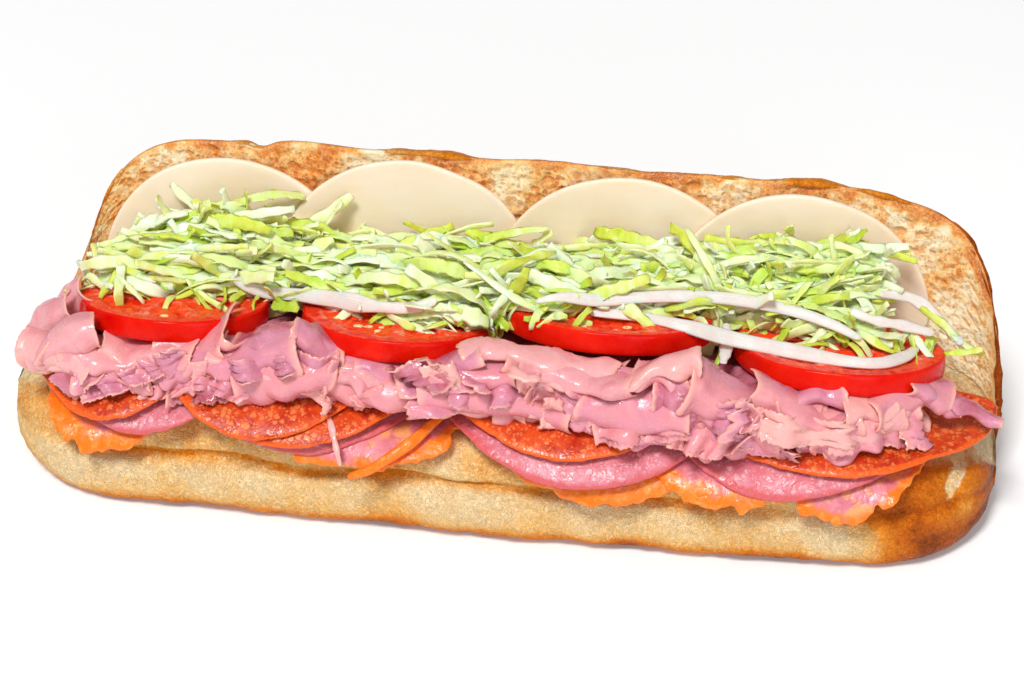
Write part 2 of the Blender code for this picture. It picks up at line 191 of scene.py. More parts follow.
def thin_sheets(grids, thick):
    """Closed sheets: each grid is moved half its thickness to either side of itself, and the
    two skins are joined round the border, where the sheet is thinner."""
    grids = grids if grids.ndim == 4 else grids[None]
    copies, rows, columns, width = grids.shape
    edge = np.ones((rows, columns))
    edge[0], edge[-1], edge[:, 0], edge[:, -1] = 0.4, 0.4, 0.4, 0.4
    half = np.broadcast_to(np.asarray(thick, float), (copies,))[:, None, None, None] * 0.5
    offset = grid_normals(grids) * half * edge[None, :, :, None]
    over, under = grids.copy(), grids.copy()
    over[..., :3] += offset
    under[..., :3] -= offset
    count = rows * columns
    points = np.stack([over, under], axis=1).reshape(-1, width)
    top = grid_faces(rows, columns, False)
    index = np.arange(count).reshape(rows, columns)
    rim = np.concatenate([index[0, :-1], index[:-1, -1], index[-1, :0:-1], index[:0:-1, 0]])
    following = np.roll(rim, -1)
    wall = np.stack([rim, rim + count, following + count, following], axis=1)
    faces = np.concatenate([top, top[:, ::-1] + count, wall])
    return points, repeated(faces, copies, 2 * count), np.zeros((0, 3), int)


def facing_out(points, quads, triangles):
    """The faces turned round if the signed volume that they enclose is negative."""
    p = points[:, :3]
    volume = 0.0
    for f in (quads[:, (0, 1, 2)], quads[:, (0, 2, 3)], triangles):
        volume += np.einsum("ij,ij->", p[f[:, 0]], np.cross(p[f[:, 1]], p[f[:, 2]]))
    return (quads[:, ::-1], triangles[:, ::-1]) if volume < 0.0 else (quads, triangles)


def add_piece(name, shape, channels, material, nodes=()):
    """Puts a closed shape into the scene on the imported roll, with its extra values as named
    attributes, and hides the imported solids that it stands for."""
    points, quads, triangles = shape
    quads, triangles = facing_out(points, quads, triangles)
    mesh = bpy.data.meshes.new(name)
    corners = np.concatenate([quads.ravel(), triangles.ravel()]).astype(np.int32)
    quad_starts = np.arange(len(quads)) * 4
    starts = np.concatenate([quad_starts, len(quads) * 4 + np.arange(len(triangles)) * 3])
    mesh.vertices.add(len(points))
    mesh.loops.add(len(corners))
    mesh.polygons.add(len(starts))
    placed = ((points[:, :3] + ORIGIN) * MM).astype(np.float32)
    mesh.vertices.foreach_set("co", placed.ravel())
    mesh.loops.foreach_set("vertex_index", corners)
    mesh.polygons.foreach_set("loop_start", starts.astype(np.int32))
    mesh.update(calc_edges=True)
    mesh.validate()
    mesh.shade_smooth()
    for column, channel in enumerate(channels, 3):
        values = mesh.attributes.new(channel, "FLOAT", "POINT")
        values.data.foreach_set("value", points[:, column].astype(np.float32))
    mesh.materials.append(material)
    piece = bpy.data.objects.new(name, mesh)
    bpy.context.scene.collection.objects.link(piece)
    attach(piece, "root")
    if nodes:
        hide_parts(*nodes)
    return piece


# ---------------------------------------------------------------- material helpers


class Nodes:
    """Short ways to place and join nodes in one tree."""

    def __init__(self, tree):
        self.tree = tree

    def add(self, kind, **settings):
        node = self.tree.nodes.new(kind)
        for key, value in settings.items():
            setattr(node, key, value)
        return node

    def put(self, socket, value):
        """Joins an output to a socket, or sets the socket's own value."""
        if isinstance(value, bpy.types.NodeSocket):
            self.tree.links.new(value, socket)
        elif value is not None:
            socket.default_value = value

    def place(self, stretch=(1.0, 1.0, 1.0)):
        """Object coordinates, stretched along each axis."""
        coordinates = self.add("ShaderNodeTexCoord")
        if stretch == (1.0, 1.0, 1.0):
            return coordinates.outputs["Object"]
        mapping = self.add("ShaderNodeMapping")
        mapping.inputs["Scale"].default_value = stretch
        self.put(mapping.inputs["Vector"], coordinates.outputs["Object"])
        return mapping.outputs["Vector"]

    def noise(self, size, detail=3.0, rough=0.5, twist=0.0, vector=None):
        """Noise whose lumps are about `size` millimetres across."""
        vector = self.place() if vector is None else vector
        return self.lumps(vector, 1.0 / (size * MM), detail, rough, twist)["Fac"]

    def lumps(self, vector, scale, detail, rough=0.5, twist=0.0):
        """The outputs of a noise texture over any vector."""
        node = self.add("ShaderNodeTexNoise")
        self.put(node.inputs["Vector"], vector)
        values = (("Scale", scale), ("Detail", detail), ("Roughness", rough), ("Distortion", twist))
        for name, value in values:
            node.inputs[name].default_value = value
        return node.outputs

    def cells(self, size):
        """Distance to the nearest of points about `size` millimetres apart."""
        node = self.add("ShaderNodeTexVoronoi")
        self.put(node.inputs["Vector"], self.place())
        node.inputs["Scale"].default_value = 1.0 / (size * MM)
        return node.outputs["Distance"]

    def attribute(self, name):
        return self.add("ShaderNodeAttribute", attribute_name=name).outputs["Fac"]

    def maths(self, operation, a, b=None, clamp=False):
        node = self.add("ShaderNodeMath", operation=operation, use_clamp=clamp)
        self.put(node.inputs[0], a)
        self.put(node.inputs[1], b)
        return node.outputs["Value"]

    def swing(self, value, strength):
        """(value - 0.5) * strength: unevenness round zero, from a value round a half."""
        return self.maths("MULTIPLY", self.maths("SUBTRACT", value, 0.5), strength)

    def span(self, value, low, high, to_low=0.0, to_high=1.0):
        """The value's place between low and high, eased and clamped."""
        node = self.add("ShaderNodeMapRange", interpolation_type="SMOOTHSTEP")
        self.put(node.inputs["Value"], value)
        for name, number in (("From Min", low), ("From Max", high), ("To Min", to_low), ("To Max", to_high)):
            node.inputs[name].default_value = number
        return node.outputs["Result"]

    def ramp(self, value, *stops):
        """Colours (r, g, b) at given places of a value."""
        node = self.add("ShaderNodeValToRGB")
        elements = node.color_ramp.elements
        while len(elements) < len(stops):
            elements.new(0.5)
        for element, (place, colour) in zip(elements, stops):
            element.position = place
            element.color = (*colour, 1.0)
        self.put(node.inputs["Fac"], value)
        return node.outputs["Color"]

    def mix(self, share, a, b, blend="MIX"):
        node = self.add("ShaderNodeMix", data_type="RGBA", blend_type=blend)
        for socket, value in ((node.inputs[0], share), (node.inputs[6], a), (node.inputs[7], b)):
            plain = isinstance(value, (int, float, bpy.types.NodeSocket))
            self.put(socket, value if plain else (*value, 1.0))
        return node.outputs[2]

    def bump(self, height, deep):
        """Normals of a relief `deep` millimetres high."""
        node = self.add("ShaderNodeBump")
        node.inputs["Strength"].default_value = 1.0
        node.inputs["Distance"].default_value = deep * MM
        self.put(node.inputs["Height"], height)
        return node.outputs["Normal"]

    def dress(self, shader, colour, rough, height, deep):
        """Joins a colour, a roughness and a relief `deep` millimetres high to a shader."""
        self.put(shader.inputs["Base Color"], colour)
        self.put(shader.inputs["Roughness"], rough)
        self.put(shader.inputs["Normal"], self.bump(height, deep))

    def group(self, tree, **values):
        """Places a node group, with its inputs joined or set by name."""
        node = self.add("ShaderNodeGroup", node_tree=tree)
        for name, value in values.items():
            self.put(node.inputs[name.replace("_", " ")], value)
        return node.outputs


def new_material(name, **uniform):
    """A Principled material and its nodes, with the values that are the same all over."""
    material = bpy.data.materials.new(name)
    material.use_nodes = True
    nodes = Nodes(material.node_tree)
    shader = material.node_tree.nodes["Principled BSDF"]
    for key, value in uniform.items():
        shader.inputs[key.replace("_", " ")].default_value = value
    return material, nodes, shader


def new_group(name, inputs, outputs):
    """An empty group with float inputs (name, default) and outputs (name, socket type)."""
    tree = bpy.data.node_groups.new(name, "ShaderNodeTree")
    for label, default in inputs:
        socket = tree.interface.new_socket(label, in_out="INPUT", socket_type="NodeSocketFloat")
        socket.default_value = default
    for label, kind in outputs:
        tree.interface.new_socket(label, in_out="OUTPUT", socket_type=kind)
    nodes = Nodes(tree)
    return tree, nodes, nodes.add("NodeGroupInput").outputs, nodes.add("NodeGroupOutput").inputs


def scaled_place(nodes, size):
    """Object coordinates divided by a size in millimetres, so that one unit is one lump."""
    node = nodes.add("ShaderNodeVectorMath", operation="SCALE")
    nodes.put(node.inputs[0], nodes.place())
    nodes.put(node.inputs["Scale"], nodes.maths("DIVIDE", 1.0 / MM, size))
    return node.outputs["Vector"]


def moist_group():
    """The uneven shine of wet food: a roughness that varies, and a soft relief."""
    if "moist surface" in bpy.data.node_groups:
        return bpy.data.node_groups["moist surface"]
    inputs = (("Size", 3.0), ("Dry", 0.5), ("Wet", 0.2))
    outputs = (("Roughness", "NodeSocketFloat"), ("Height", "NodeSocketFloat"))
    tree, nodes, given, out = new_group("moist surface", inputs, outputs)
    lumps = nodes.lumps(scaled_place(nodes, given["Size"]), 1.0, 4.0, twist=0.6)["Fac"]
    share = nodes.span(lumps, 0.38, 0.62)
    span = nodes.maths("SUBTRACT", given["Dry"], given["Wet"])
    nodes.put(out["Roughness"], nodes.maths("ADD", given["Wet"], nodes.maths("MULTIPLY", share, span)))
    nodes.put(out["Height"], lumps)
    return tree


def marbling_group():
    """Fat in ground meat: irregular specks round scattered points, with a size of their own."""
    if "fat marbling" in bpy.data.node_groups:
        return bpy.data.node_groups["fat marbling"]
    inputs = (("Size", 3.0), ("Amount", 0.3), ("Twist", 0.5))
    tree, nodes, given, out = new_group("fat marbling", inputs, (("Mask", "NodeSocketFloat"),))
    place = scaled_place(nodes, given["Size"])
    pull = nodes.add("ShaderNodeVectorMath", operation="SCALE")
    nodes.put(pull.inputs[0], nodes.lumps(place, 1.6, 3.0)["Color"])
    nodes.put(pull.inputs["Scale"], given["Twist"])
    moved = nodes.add("ShaderNodeVectorMath", operation="ADD")
    nodes.put(moved.inputs[0], place)
    nodes.put(moved.inputs[1], pull.outputs["Vector"])
    cell = nodes.add("ShaderNodeTexVoronoi")
    nodes.put(cell.inputs["Vector"], moved.outputs["Vector"])
    cell.inputs["Scale"].default_value = 1.0
    reach = nodes.maths("MULTIPLY", given["Amount"], cell_chance(nodes, cell))
    edge = nodes.maths("SUBTRACT", reach, cell.outputs["Distance"])
    nodes.put(out["Mask"], nodes.span(edge, -0.1, 0.14))
    return tree


def cell_chance(nodes, cell):
    """A different number from 0 to 1.6 in each cell."""
    parts = nodes.add("ShaderNodeSeparateColor")
    nodes.put(parts.inputs["Color"], cell.outputs["Color"])
    return nodes.maths("MULTIPLY", parts.outputs["Red"], 1.6)


def baked_group():
    """Baked dough: fine crossed wrinkles and fibres, as a relief and as lighter flecks."""
    if "baked skin" in bpy.data.node_groups:
        return bpy.data.node_groups["baked skin"]
    outputs = (("Height", "NodeSocketFloat"), ("Flecks", "NodeSocketFloat"), ("Mottle", "NodeSocketFloat"))
    tree, nodes, given, out = new_group("baked skin", (("Size", 1.0),), outputs)
    place = scaled_place(nodes, given["Size"])

    def layer(scale, detail, twist):
        return nodes.lumps(place, scale, detail, 0.55, twist)["Fac"]

    fibres = nodes.maths("ABSOLUTE", nodes.maths("SUBTRACT", layer(0.9, 2.0, 2.6), 0.5))
    threads = nodes.span(fibres, 0.0, 0.13, 1.0, 0.0)
    fine = layer(2.1, 4.0, 0.8)
    height = nodes.maths("ADD", nodes.maths("MULTIPLY", threads, 0.55), nodes.maths("MULTIPLY", fine, 0.6))
    nodes.put(out["Height"], height)
    nodes.put(out["Flecks"], nodes.maths("MULTIPLY", threads, nodes.span(fine, 0.34, 0.6)))
    nodes.put(out["Mottle"], layer(0.16, 4.0, 0.5))
    return tree


# ---------------------------------------------------------------- roll

# The lower half's section (y, z, baking, crumb) from the front of its foot up over the lip
LOWER_FRONT = (
    (-31.5, 0.0, 0.6, 0.0), (-35.6, 1.7, 0.5, 0.0), (-37.8, 6.0, 0.36, 0.0), (-38.2, 12.5, 0.17, 0.0),
    (-37.0, 18.4, 0.16, 0.0), (-34.6, 21.2, 0.34, 0.0), (-35.0, 23.6, 0.34, 0.0), (-33.4, 27.6, 0.36, 0.0),
    (-29.5, 30.8, 0.38, 0.0), (-24.5, 32.3, 0.36, 0.4), (-5.0, 32.3, 0.2, 1.0), (18.0, 32.0, 0.2, 1.0),
)
# Behind the toasted face and over its rim (share of the height, depth, baking, crumb)
UPPER_RIM = (
    (0.05, 3.0, 0.3, 1.0), (0.3, 3.0, 0.3, 1.0), (0.6, 3.0, 0.3, 1.0), (0.86, 3.0, 0.3, 1.0),
    (0.94, 2.6, 0.4, 1.0), (0.972, 1.8, 0.45, 0.6), (0.988, 0.5, 0.5, 0.0),
)
# Over the upper half's back (turn from its top in degrees, baking)
DOME = (
    (9.0, 0.52), (18.0, 0.56), (34.0, 0.62), (54.0, 0.58),
    (78.0, 0.56), (105.0, 0.5), (128.0, 0.42), (141.0, 0.36),
)
# The lower half's section down its back to the foot, as in LOWER_FRONT
LOWER_BACK = (
    (43.0, 23.0, 0.36, 0.0), (41.2, 16.5, 0.36, 0.0), (38.5, 8.0, 0.42, 0.0), (33.0, 1.8, 0.52, 0.0),
    (26.0, 0.0, 0.6, 0.0), (9.0, 0.0, 0.62, 0.0), (-9.0, 0.0, 0.62, 0.0), (-23.0, 0.0, 0.62, 0.0),
)


def end_fall(t, power, least):
    """sqrt(1 - |t|^power), but never under `least`: how a width shrinks towards an end."""
    return np.sqrt(np.maximum(1.0 - np.abs(t) ** power, least * least))


def lower_surface(y, z, t):
    """Points of the lower half, drawn in towards its middle as the roll rounds off."""
    middle_y, middle_z = LOWER_MIDDLE
    front = end_fall(t, np.where(t > 0.0, 6.8, 10.0), 0.15)
    wide = np.where(y < middle_y, front, end_fall(t, 14.0, 0.25))
    tall = end_fall(t, 14.0, 0.2)
    reach = np.where(t > 0.0, LOWER_RIGHT, LOWER_LEFT + LEFT_SWELL)
    parts = (t * reach, middle_y + (y - middle_y) * wide, middle_z + (z - middle_z) * tall)
    return np.stack(np.broadcast_arrays(*parts), axis=-1)


def uneven_top(t):
    """How far the cut face's height strays from its mean: slow waves and one notch on the left."""
    x = t * UPPER_LEFT
    waves = 0.006 * np.sin(x / 6.3) + 0.005 * np.sin(x / 11.0 + 1.0)
    return 1.0 + waves - 0.03 * bump_at(x, NOTCH_X, 4.0)


def upper_surface(along, deep, t):
    """Points of the upper half: `along` up its cut face from the hinge and `deep` behind it."""
    base_y = HINGE_Y - HINGE_DRAW * np.abs(t) ** 24.0
    base_z = HINGE_Z - HINGE_DROP * np.abs(t) ** 24.0
    along = along * end_fall(t, *HEIGHT_FALL) * uneven_top(t)
    deep = deep * end_fall(t, *DEPTH_FALL)
    lower_x = t * np.where(t > 0.0, LOWER_RIGHT, LOWER_LEFT)
    upper_x = t * np.where(t > 0.0, UPPER_RIGHT, UPPER_LEFT)
    x = lower_x + (upper_x - lower_x) * smooth_step(0.0, 14.0, along + deep)
    y = base_y + along * math.cos(OPENING) + deep * math.sin(OPENING)
    z = base_z + along * math.sin(OPENING) - deep * math.cos(OPENING)
    return np.stack(np.broadcast_arrays(x, y, z), axis=-1)


def stations(count, rounded):
    """Places from -1 to 1 along the roll, closer together at the ends as `rounded` grows."""
    even = np.linspace(-1.0, 1.0, count)
    return (rounded * np.sin(even * math.pi / 2.0) + (1.0 - rounded) * even)[:, None]


def crust_rings(count):
    """The whole skin but for the toasted face: control rings joined by curves, with how far
    each place is baked and how much of it is open crumb."""
    t = stations(count, 0.6)
    front = np.array(LOWER_FRONT)
    rim = np.array(UPPER_RIM)
    dome = np.array(DOME)
    back = np.array(LOWER_BACK)
    turn = np.radians(dome[:, 0])
    dome_along = 0.5 * UPPER_HEIGHT * (1.0 + np.cos(turn))
    dome_deep = UPPER_DEPTH * np.sin(turn) ** np.where(turn < math.pi / 2.0, DOME_POWER, 1.0)
    parts = (
        lower_surface(front[:, 0], front[:, 1], t),
        upper_surface(rim[:, 0] * UPPER_HEIGHT, rim[:, 1] / end_fall(t, *DEPTH_FALL), t),
        upper_surface(dome_along, dome_deep, t), lower_surface(back[:, 0], back[:, 1], t),
    )
    control = np.concatenate(parts, axis=1)
    baking = np.concatenate([front[:, 2], rim[:, 2], dome[:, 1], back[:, 2]])
    crumb = np.concatenate([front[:, 3], rim[:, 3], 0.0 * dome[:, 0], back[:, 3]])
    middle = control[count // 2]
    spans = np.linalg.norm(np.roll(middle, -1, axis=0) - middle, axis=1)
    steps = np.maximum(np.round(spans / 1.08).astype(int), 2)
    rings = through(control, steps)
    looks = through(np.stack([baking, crumb], axis=-1)[None], steps)[0]
    looks = np.broadcast_to(np.clip(looks, 0.0, 1.0), (*rings.shape[:2], 2)).copy()
    return rings, looks


def shape_crust(rings, looks):
    """Moves the skin along its normals by slow, middling and fine unevenness, sinks the crease and
    the torn seam, bakes it darker at its right end, and paints shade into the crease and its foot."""
    baking, crumb = looks[..., 0], looks[..., 1]
    x, y, z = rings[..., 0], rings[..., 1], rings[..., 2]
    around = np.roll(rings, -1, axis=1) - np.roll(rings, 1, axis=1)
    normal = unit(np.cross(np.gradient(rings, axis=0), around))
    outward = np.sign(np.median(normal[len(rings) // 2, :, 2] * (z[len(rings) // 2] - 14.0)))
    normal = normal * (outward if outward else 1.0)
    free = 1.0 - smooth_step(0.1, 0.6, crumb)
    front = smooth_step(-24.0, -31.0, y) * smooth_step(2.0, 8.0, z)
    lift = 0.55 * drift(rings, 60.0, 11) * free + 0.2 * drift(rings, 13.0, 12) * free
    lift += 0.07 * drift(rings, 4.0, 13) * free - 0.35
    fading = 1.0 - smooth_step(40.0, 95.0, x)
    crease = bump_at(z, 21.2 + 0.5 * drift(x[..., None], 60.0, 14), 0.95) * smooth_step(-30.0, -33.0, y)
    lift -= 1.5 * crease * (0.08 + 0.92 * fading)
    tear = right_tear(rings)
    lift -= 0.9 * tear
    rings = rings + normal * lift[..., None]
    rings[..., 2] = np.maximum(rings[..., 2], 0.0)
    warm = drift(rings, 38.0, 15, 3)
    right = smooth_step(100.0, 130.0, x + 0.9 * (z - 16.0)) * smooth_step(45.0, 20.0, y)
    baking = baking - 0.05 * front * (1.0 - right) + 0.1 * warm
    # Bakes the right end darker, and darkens the crease with painted shade
    baking += right * (0.5 + 0.28 * smooth_step(26.0, 6.0, z)) + 0.3 * crease * fading * front
    # Painted shade: the foot of the front is darkened where the underside curves away
    baking += 0.24 * smooth_step(9.0, 2.0, z) * smooth_step(-20.0, -30.0, y)
    baking += 0.22 * smooth_step(118.0, 148.0, x) * (y > 20.0)
    crumb = np.maximum(crumb, tear)
    return np.concatenate([rings, np.clip(baking, 0.0, 1.0)[..., None], crumb[..., None]], axis=-1)


def right_tear(rings):
    """A pale torn seam that tapers down the right shoulder from the cut face."""
    x, y, z = rings[..., 0], rings[..., 1], rings[..., 2]
    line = 138.0 + 0.4 * (z - 25.0) + 0.5 * np.sin(z * 0.9)
    strip = bump_at(x, line, 0.8 + 0.32 * np.maximum(z - 20.0, 0.0)) * smooth_step(19.0, 24.0, z)
    strip = strip * smooth_step(33.5, 31.0, z) * smooth_step(-4.0, -8.0, y)
    return np.clip(strip * (1.25 + 0.3 * drift(rings, 7.0, 16)), 0.0, 1.0)


def pores(x, up, count, seed):
    """Depth of scattered rounded pores, each one sqrt(1 - r^2) of its own radius deep."""
    rng = np.random.default_rng(seed)
    depth = np.zeros(x.shape)
    middles = np.stack([rng.uniform(-150.0, 150.0, count), rng.uniform(0.0, UPPER_HEIGHT, count)], axis=1)
    radii = np.clip(np.exp(rng.normal(-0.35, 0.35, count)), 0.4, 1.7)
    long = rng.uniform(1.0, 1.9, count)
    lean = rng.normal(0.0, 0.5, count)
    line = x[:, x.shape[1] // 2]
    heights = up[0]
    for (px, pu), radius, stretch, tilt in zip(middles, radii, long, lean):
        rows = slice(*np.searchsorted(line, (px - 2.2 * radius, px + 2.2 * radius)))
        columns = slice(*np.searchsorted(heights, (pu - 2.2 * radius, pu + 2.2 * radius)))
        dx, du = x[rows, columns] - px, up[rows, columns] - pu
        a = (dx * math.cos(tilt) + du * math.sin(tilt)) / (radius * stretch)
        b = (du * math.cos(tilt) - dx * math.sin(tilt)) / radius
        here = radius * np.sqrt(np.maximum(1.0 - a * a - b * b, 0.0))
        depth[rows, columns] = np.maximum(depth[rows, columns], here)
    return depth


def toasted_face(rows, columns):
    """The upper half's cut face: a plate just behind the cut, holed by pores and closed behind.
    It bakes darker towards its border, over a wider band at the right shoulder."""
    t = stations(rows, 0.45) * FACE_SIDE
    share = np.linspace(0.02, FACE_TOP, columns)[None, :]
    along = share * UPPER_HEIGHT
    narrow = end_fall(t, *HEIGHT_FALL)
    flat = upper_surface(along, 0.0, t)
    x, up = flat[..., 0], np.broadcast_to(along, flat.shape[:2]) * narrow
    plane = np.stack([x, up], axis=-1)
    to_top = FACE_TOP * UPPER_HEIGHT * narrow - up
    to_side = np.where(t > 0.0, UPPER_RIGHT - 1.2 - x, x + UPPER_LEFT - 1.2)
    border = np.minimum(to_top, to_side) + 0.5 * drift(plane, 9.0, 37, 3)
    corner = smooth_step(95.0, 140.0, x) * smooth_step(8.0, 34.0, up)
    rim = smooth_step(3.0 + 5.5 * corner, 0.2 + 2.0 * corner, border)
    hole = pores(x, np.broadcast_to(along, x.shape), 1500, 31)
    calm = smooth_step(0.975, 0.9, np.abs(t))
    hole *= (0.8 + 0.3 * drift(plane, 26.0, 32)) * (1.0 - 0.85 * rim) * calm
    edge = np.minimum(smooth_step(0.0, 0.035, share - 0.02), smooth_step(0.0, 0.006, FACE_TOP - share))
    edge = np.minimum(edge, smooth_step(0.0, 0.008, FACE_SIDE - np.abs(t)))
    relief = 0.5 + (0.2 * drift(plane, 11.0, 33) + 0.13 * drift(plane, 3.4, 34, 3)) * (1.0 - 0.6 * rim)
    deep = np.maximum(relief, 0.1) + np.clip(hole, 0.0, 1.6) * 0.7 + 0.5 * (1.0 - edge)
    skin = upper_surface(along, deep / np.maximum(end_fall(t, *DEPTH_FALL), 0.3), t)
    toast = 0.385 + 0.14 * drift(plane, 34.0, 35, 3) + 0.07 * drift(plane, 7.0, 36, 3)
    patchy = 0.85 + 0.4 * drift(plane, 15.0, 38)
    toast = toast - 0.2 * smooth_step(88.0, 118.0, x) + (0.34 + 0.26 * corner) * rim * patchy
    pore = np.clip(hole / 0.9, 0.0, 1.0)
    parts = np.stack([np.clip(toast, 0.0, 1.0), pore, rim], axis=-1)
    return np.concatenate([skin, parts], axis=-1)


def closed_plate(grid, deeper):
    """A grid closed by a wall round its border and a back, which lies `deeper` (a vector for each
    place) behind it and runs straight from one side of the border to the other at every row."""
    rows, columns, width = grid.shape
    index = np.arange(rows * columns).reshape(rows, columns)
    rim = np.concatenate([index[0, :-1], index[:-1, -1], index[-1, :0:-1], index[:0:-1, 0]])
    points = grid.reshape(-1, width)
    behind = points[rim].copy()
    behind[:, :3] += deeper.reshape(-1, 3)[rim]
    count, around = rows * columns, len(rim)
    place = np.arange(around)
    following = np.roll(place, -1)
    wall = np.stack([rim, count + place, count + following, np.roll(rim, -1)], axis=1)
    row = np.arange(1, rows - 2)
    right, left = columns - 1 + row, around - row
    back = count + np.stack([right + 1, right, left, left - 1], axis=1)
    first = np.concatenate([[around - 1], np.arange(columns + 1)])
    last = np.arange(columns + rows - 3, columns + rows - 3 + columns + 2)
    fans, middles = [], []
    for number, ends in enumerate((first, last)):
        middles.append(behind[ends].mean(axis=0))
        hub = np.full(len(ends), count + around + number)
        fans.append(np.stack([count + np.roll(ends, -1), count + ends, hub], axis=1))
    quads = np.concatenate([grid_faces(rows, columns, False), wall, back])
    return np.concatenate([points, behind, middles]), quads, np.concatenate(fans)


def crust_material(settings):
    material, nodes, shader = new_material("baked crust", Specular_IOR_Level=0.12)
    baked = nodes.group(baked_group(), Size=1.9)
    baking, crumb = nodes.attribute("baking"), nodes.attribute("crumb")
    mottle = nodes.swing(baked["Mottle"], 0.5)
    spots = nodes.swing(nodes.noise(1.6, 3.0), 0.3)
    level = nodes.maths("ADD", baking, nodes.maths("ADD", mottle, spots), clamp=True)
    colour = nodes.ramp(
        level, (0.0, settings.pale), (0.28, settings.golden), (0.55, settings.amber),
        (0.8, settings.brown), (1.0, settings.dark),
    )
    lighter = nodes.ramp(
        level, (0.0, settings.cream), (0.36, settings.pale), (0.5, settings.golden), (0.66, settings.amber)
    )
    flecks = nodes.maths("MULTIPLY", baked["Flecks"], nodes.span(level, 0.4, 0.7, 0.7, 0.18))
    colour = nodes.mix(flecks, colour, lighter)
    inner = nodes.ramp(nodes.noise(2.2, 4.0), (0.3, settings.golden), (0.6, settings.cream))
    share = nodes.span(nodes.maths("ADD", crumb, nodes.maths("MULTIPLY", spots, 1.5)), 0.35, 0.75)
    rough = nodes.span(level, 0.1, 0.9, 0.72, 0.42)
    nodes.dress(shader, nodes.mix(share, colour, inner), rough, baked["Height"], 0.5)
    return material


def crumb_material(settings):
    material, nodes, shader = new_material("toasted crumb", Roughness=0.8, Specular_IOR_Level=0.05)
    toast, pore, rim = nodes.attribute("toast"), nodes.attribute("pore"), nodes.attribute("rim")
    fine = nodes.noise(0.9, 4.0, 0.6)
    baked = nodes.group(baked_group(), Size=1.1)
    coarse = nodes.swing(nodes.noise(3.2, 4.0, 0.6, 0.6), 0.8)
    grain = nodes.swing(fine, 0.5)
    level = nodes.maths("ADD", toast, nodes.maths("ADD", coarse, grain))
    face = nodes.ramp(
        level, (0.1, settings.crumb), (0.4, settings.toasted), (0.68, settings.amber), (1.0, settings.brown)
    )
    face = nodes.mix(nodes.maths("MULTIPLY", baked["Flecks"], 0.5), face, settings.crumb)
    small = nodes.group(marbling_group(), Size=1.9, Amount=0.36, Twist=0.5)["Mask"]
    tiny = nodes.group(marbling_group(), Size=0.95, Amount=0.34, Twist=0.5)["Mask"]
    open_share = nodes.maths("SUBTRACT", 1.0, rim, clamp=True)
    specks = nodes.maths("MAXIMUM", small, nodes.maths("MULTIPLY", tiny, 0.7))
    holes = nodes.maths("MULTIPLY", specks, open_share)
    # Painted shade: the pores and the small holes are darkened towards the pore shade colour
    inside = nodes.ramp(toast, (0.0, settings.pore_shade), (0.6, settings.brown))
    deep = nodes.maths("MAXIMUM", nodes.span(pore, 0.1, 0.8, 0.0, 0.55), nodes.maths("MULTIPLY", holes, 0.7))
    nodes.put(shader.inputs["Base Color"], nodes.mix(deep, face, inside))
    grains = nodes.maths("MULTIPLY", nodes.maths("ADD", fine, baked["Height"]), 0.5)
    height = nodes.maths("SUBTRACT", grains, holes)
    nodes.put(shader.inputs["Normal"], nodes.bump(height, 0.2))
    return material


# ---------------------------------------------------------------- cold cuts


def on_sheet(u, v, height):
    """Places on the sheet that all the cold cuts follow: flat on the cut face for v above 0,
    then round an arc of LIP_RADIUS to DROOP, then straight down. Height is off the sheet."""
    bend = np.clip(-v / LIP_RADIUS, 0.0, DROOP)
    past = np.maximum(-v - LIP_RADIUS * DROOP, 0.0)
    y = LIP_Y + np.maximum(v, 0.0) - LIP_RADIUS * np.sin(bend) - past * math.cos(DROOP)
    z = SHEET_Z - LIP_RADIUS * (1.0 - np.cos(bend)) - past * math.sin(DROOP)
    ripple = 0.45 * np.sin(u / 15.0 + 0.8) + 0.25 * np.sin(u / 8.3 + 2.1) + 0.7
    wave = smooth_step(-2.0, -13.0, v) * (0.55 * np.sin(u / 4.9 + 0.6) + 0.4 * np.sin(u / 8.1 + v / 9.0))
    height = height + wave
    y, z = y - height * np.sin(bend), z + height * np.cos(bend) + ripple
    return np.stack([u + 0.0 * v, y, z], axis=-1)


# Name, kind, middle along the roll, half-width, reach past the lip, layer, and where it climbs
COLD_CUTS = (
    ("capicola_1", -116.0, 24.0, -14.6, 0.0, None),
    ("capicola_2", -41.0, 38.0, -14.5, 1.0, None),
    ("capicola_3", 31.5, 39.0, -17.4, 0.0, None),
    ("capicola_4", 73.0, 36.0, -14.5, 1.0, None),
    ("capicola_5", 104.0, 25.0, -17.2, 0.0, None),
    ("salami_1", -105.5, 37.0, -10.3, 3.0, None),
    ("salami_2", -61.0, 43.0, -11.6, 2.0, None),
    ("salami_3", 27.0, 47.0, -13.2, 3.0, None),
    ("salami_4", 89.0, 46.0, -11.2, 2.0, None),
    ("pepperoni_1", -114.0, 31.5, -8.6, 4.0, (-124.0, -108.0, 1.0)),
    ("pepperoni_2", -69.0, 40.0, -10.2, 6.0, (-82.0, -62.0, -1.0)),
    ("pepperoni_3", -60.0, 43.0, -10.6, 4.0, None),
    ("pepperoni_4", 22.0, 45.0, -8.4, 5.0, None),
    ("pepperoni_5", 99.0, 51.0, -6.6, 4.0, None),
)


# Slices of capicola whose spiced rim is broader than the others
FRINGES = {"capicola_1": 0.1, "capicola_3": 0.09, "capicola_4": 0.04}


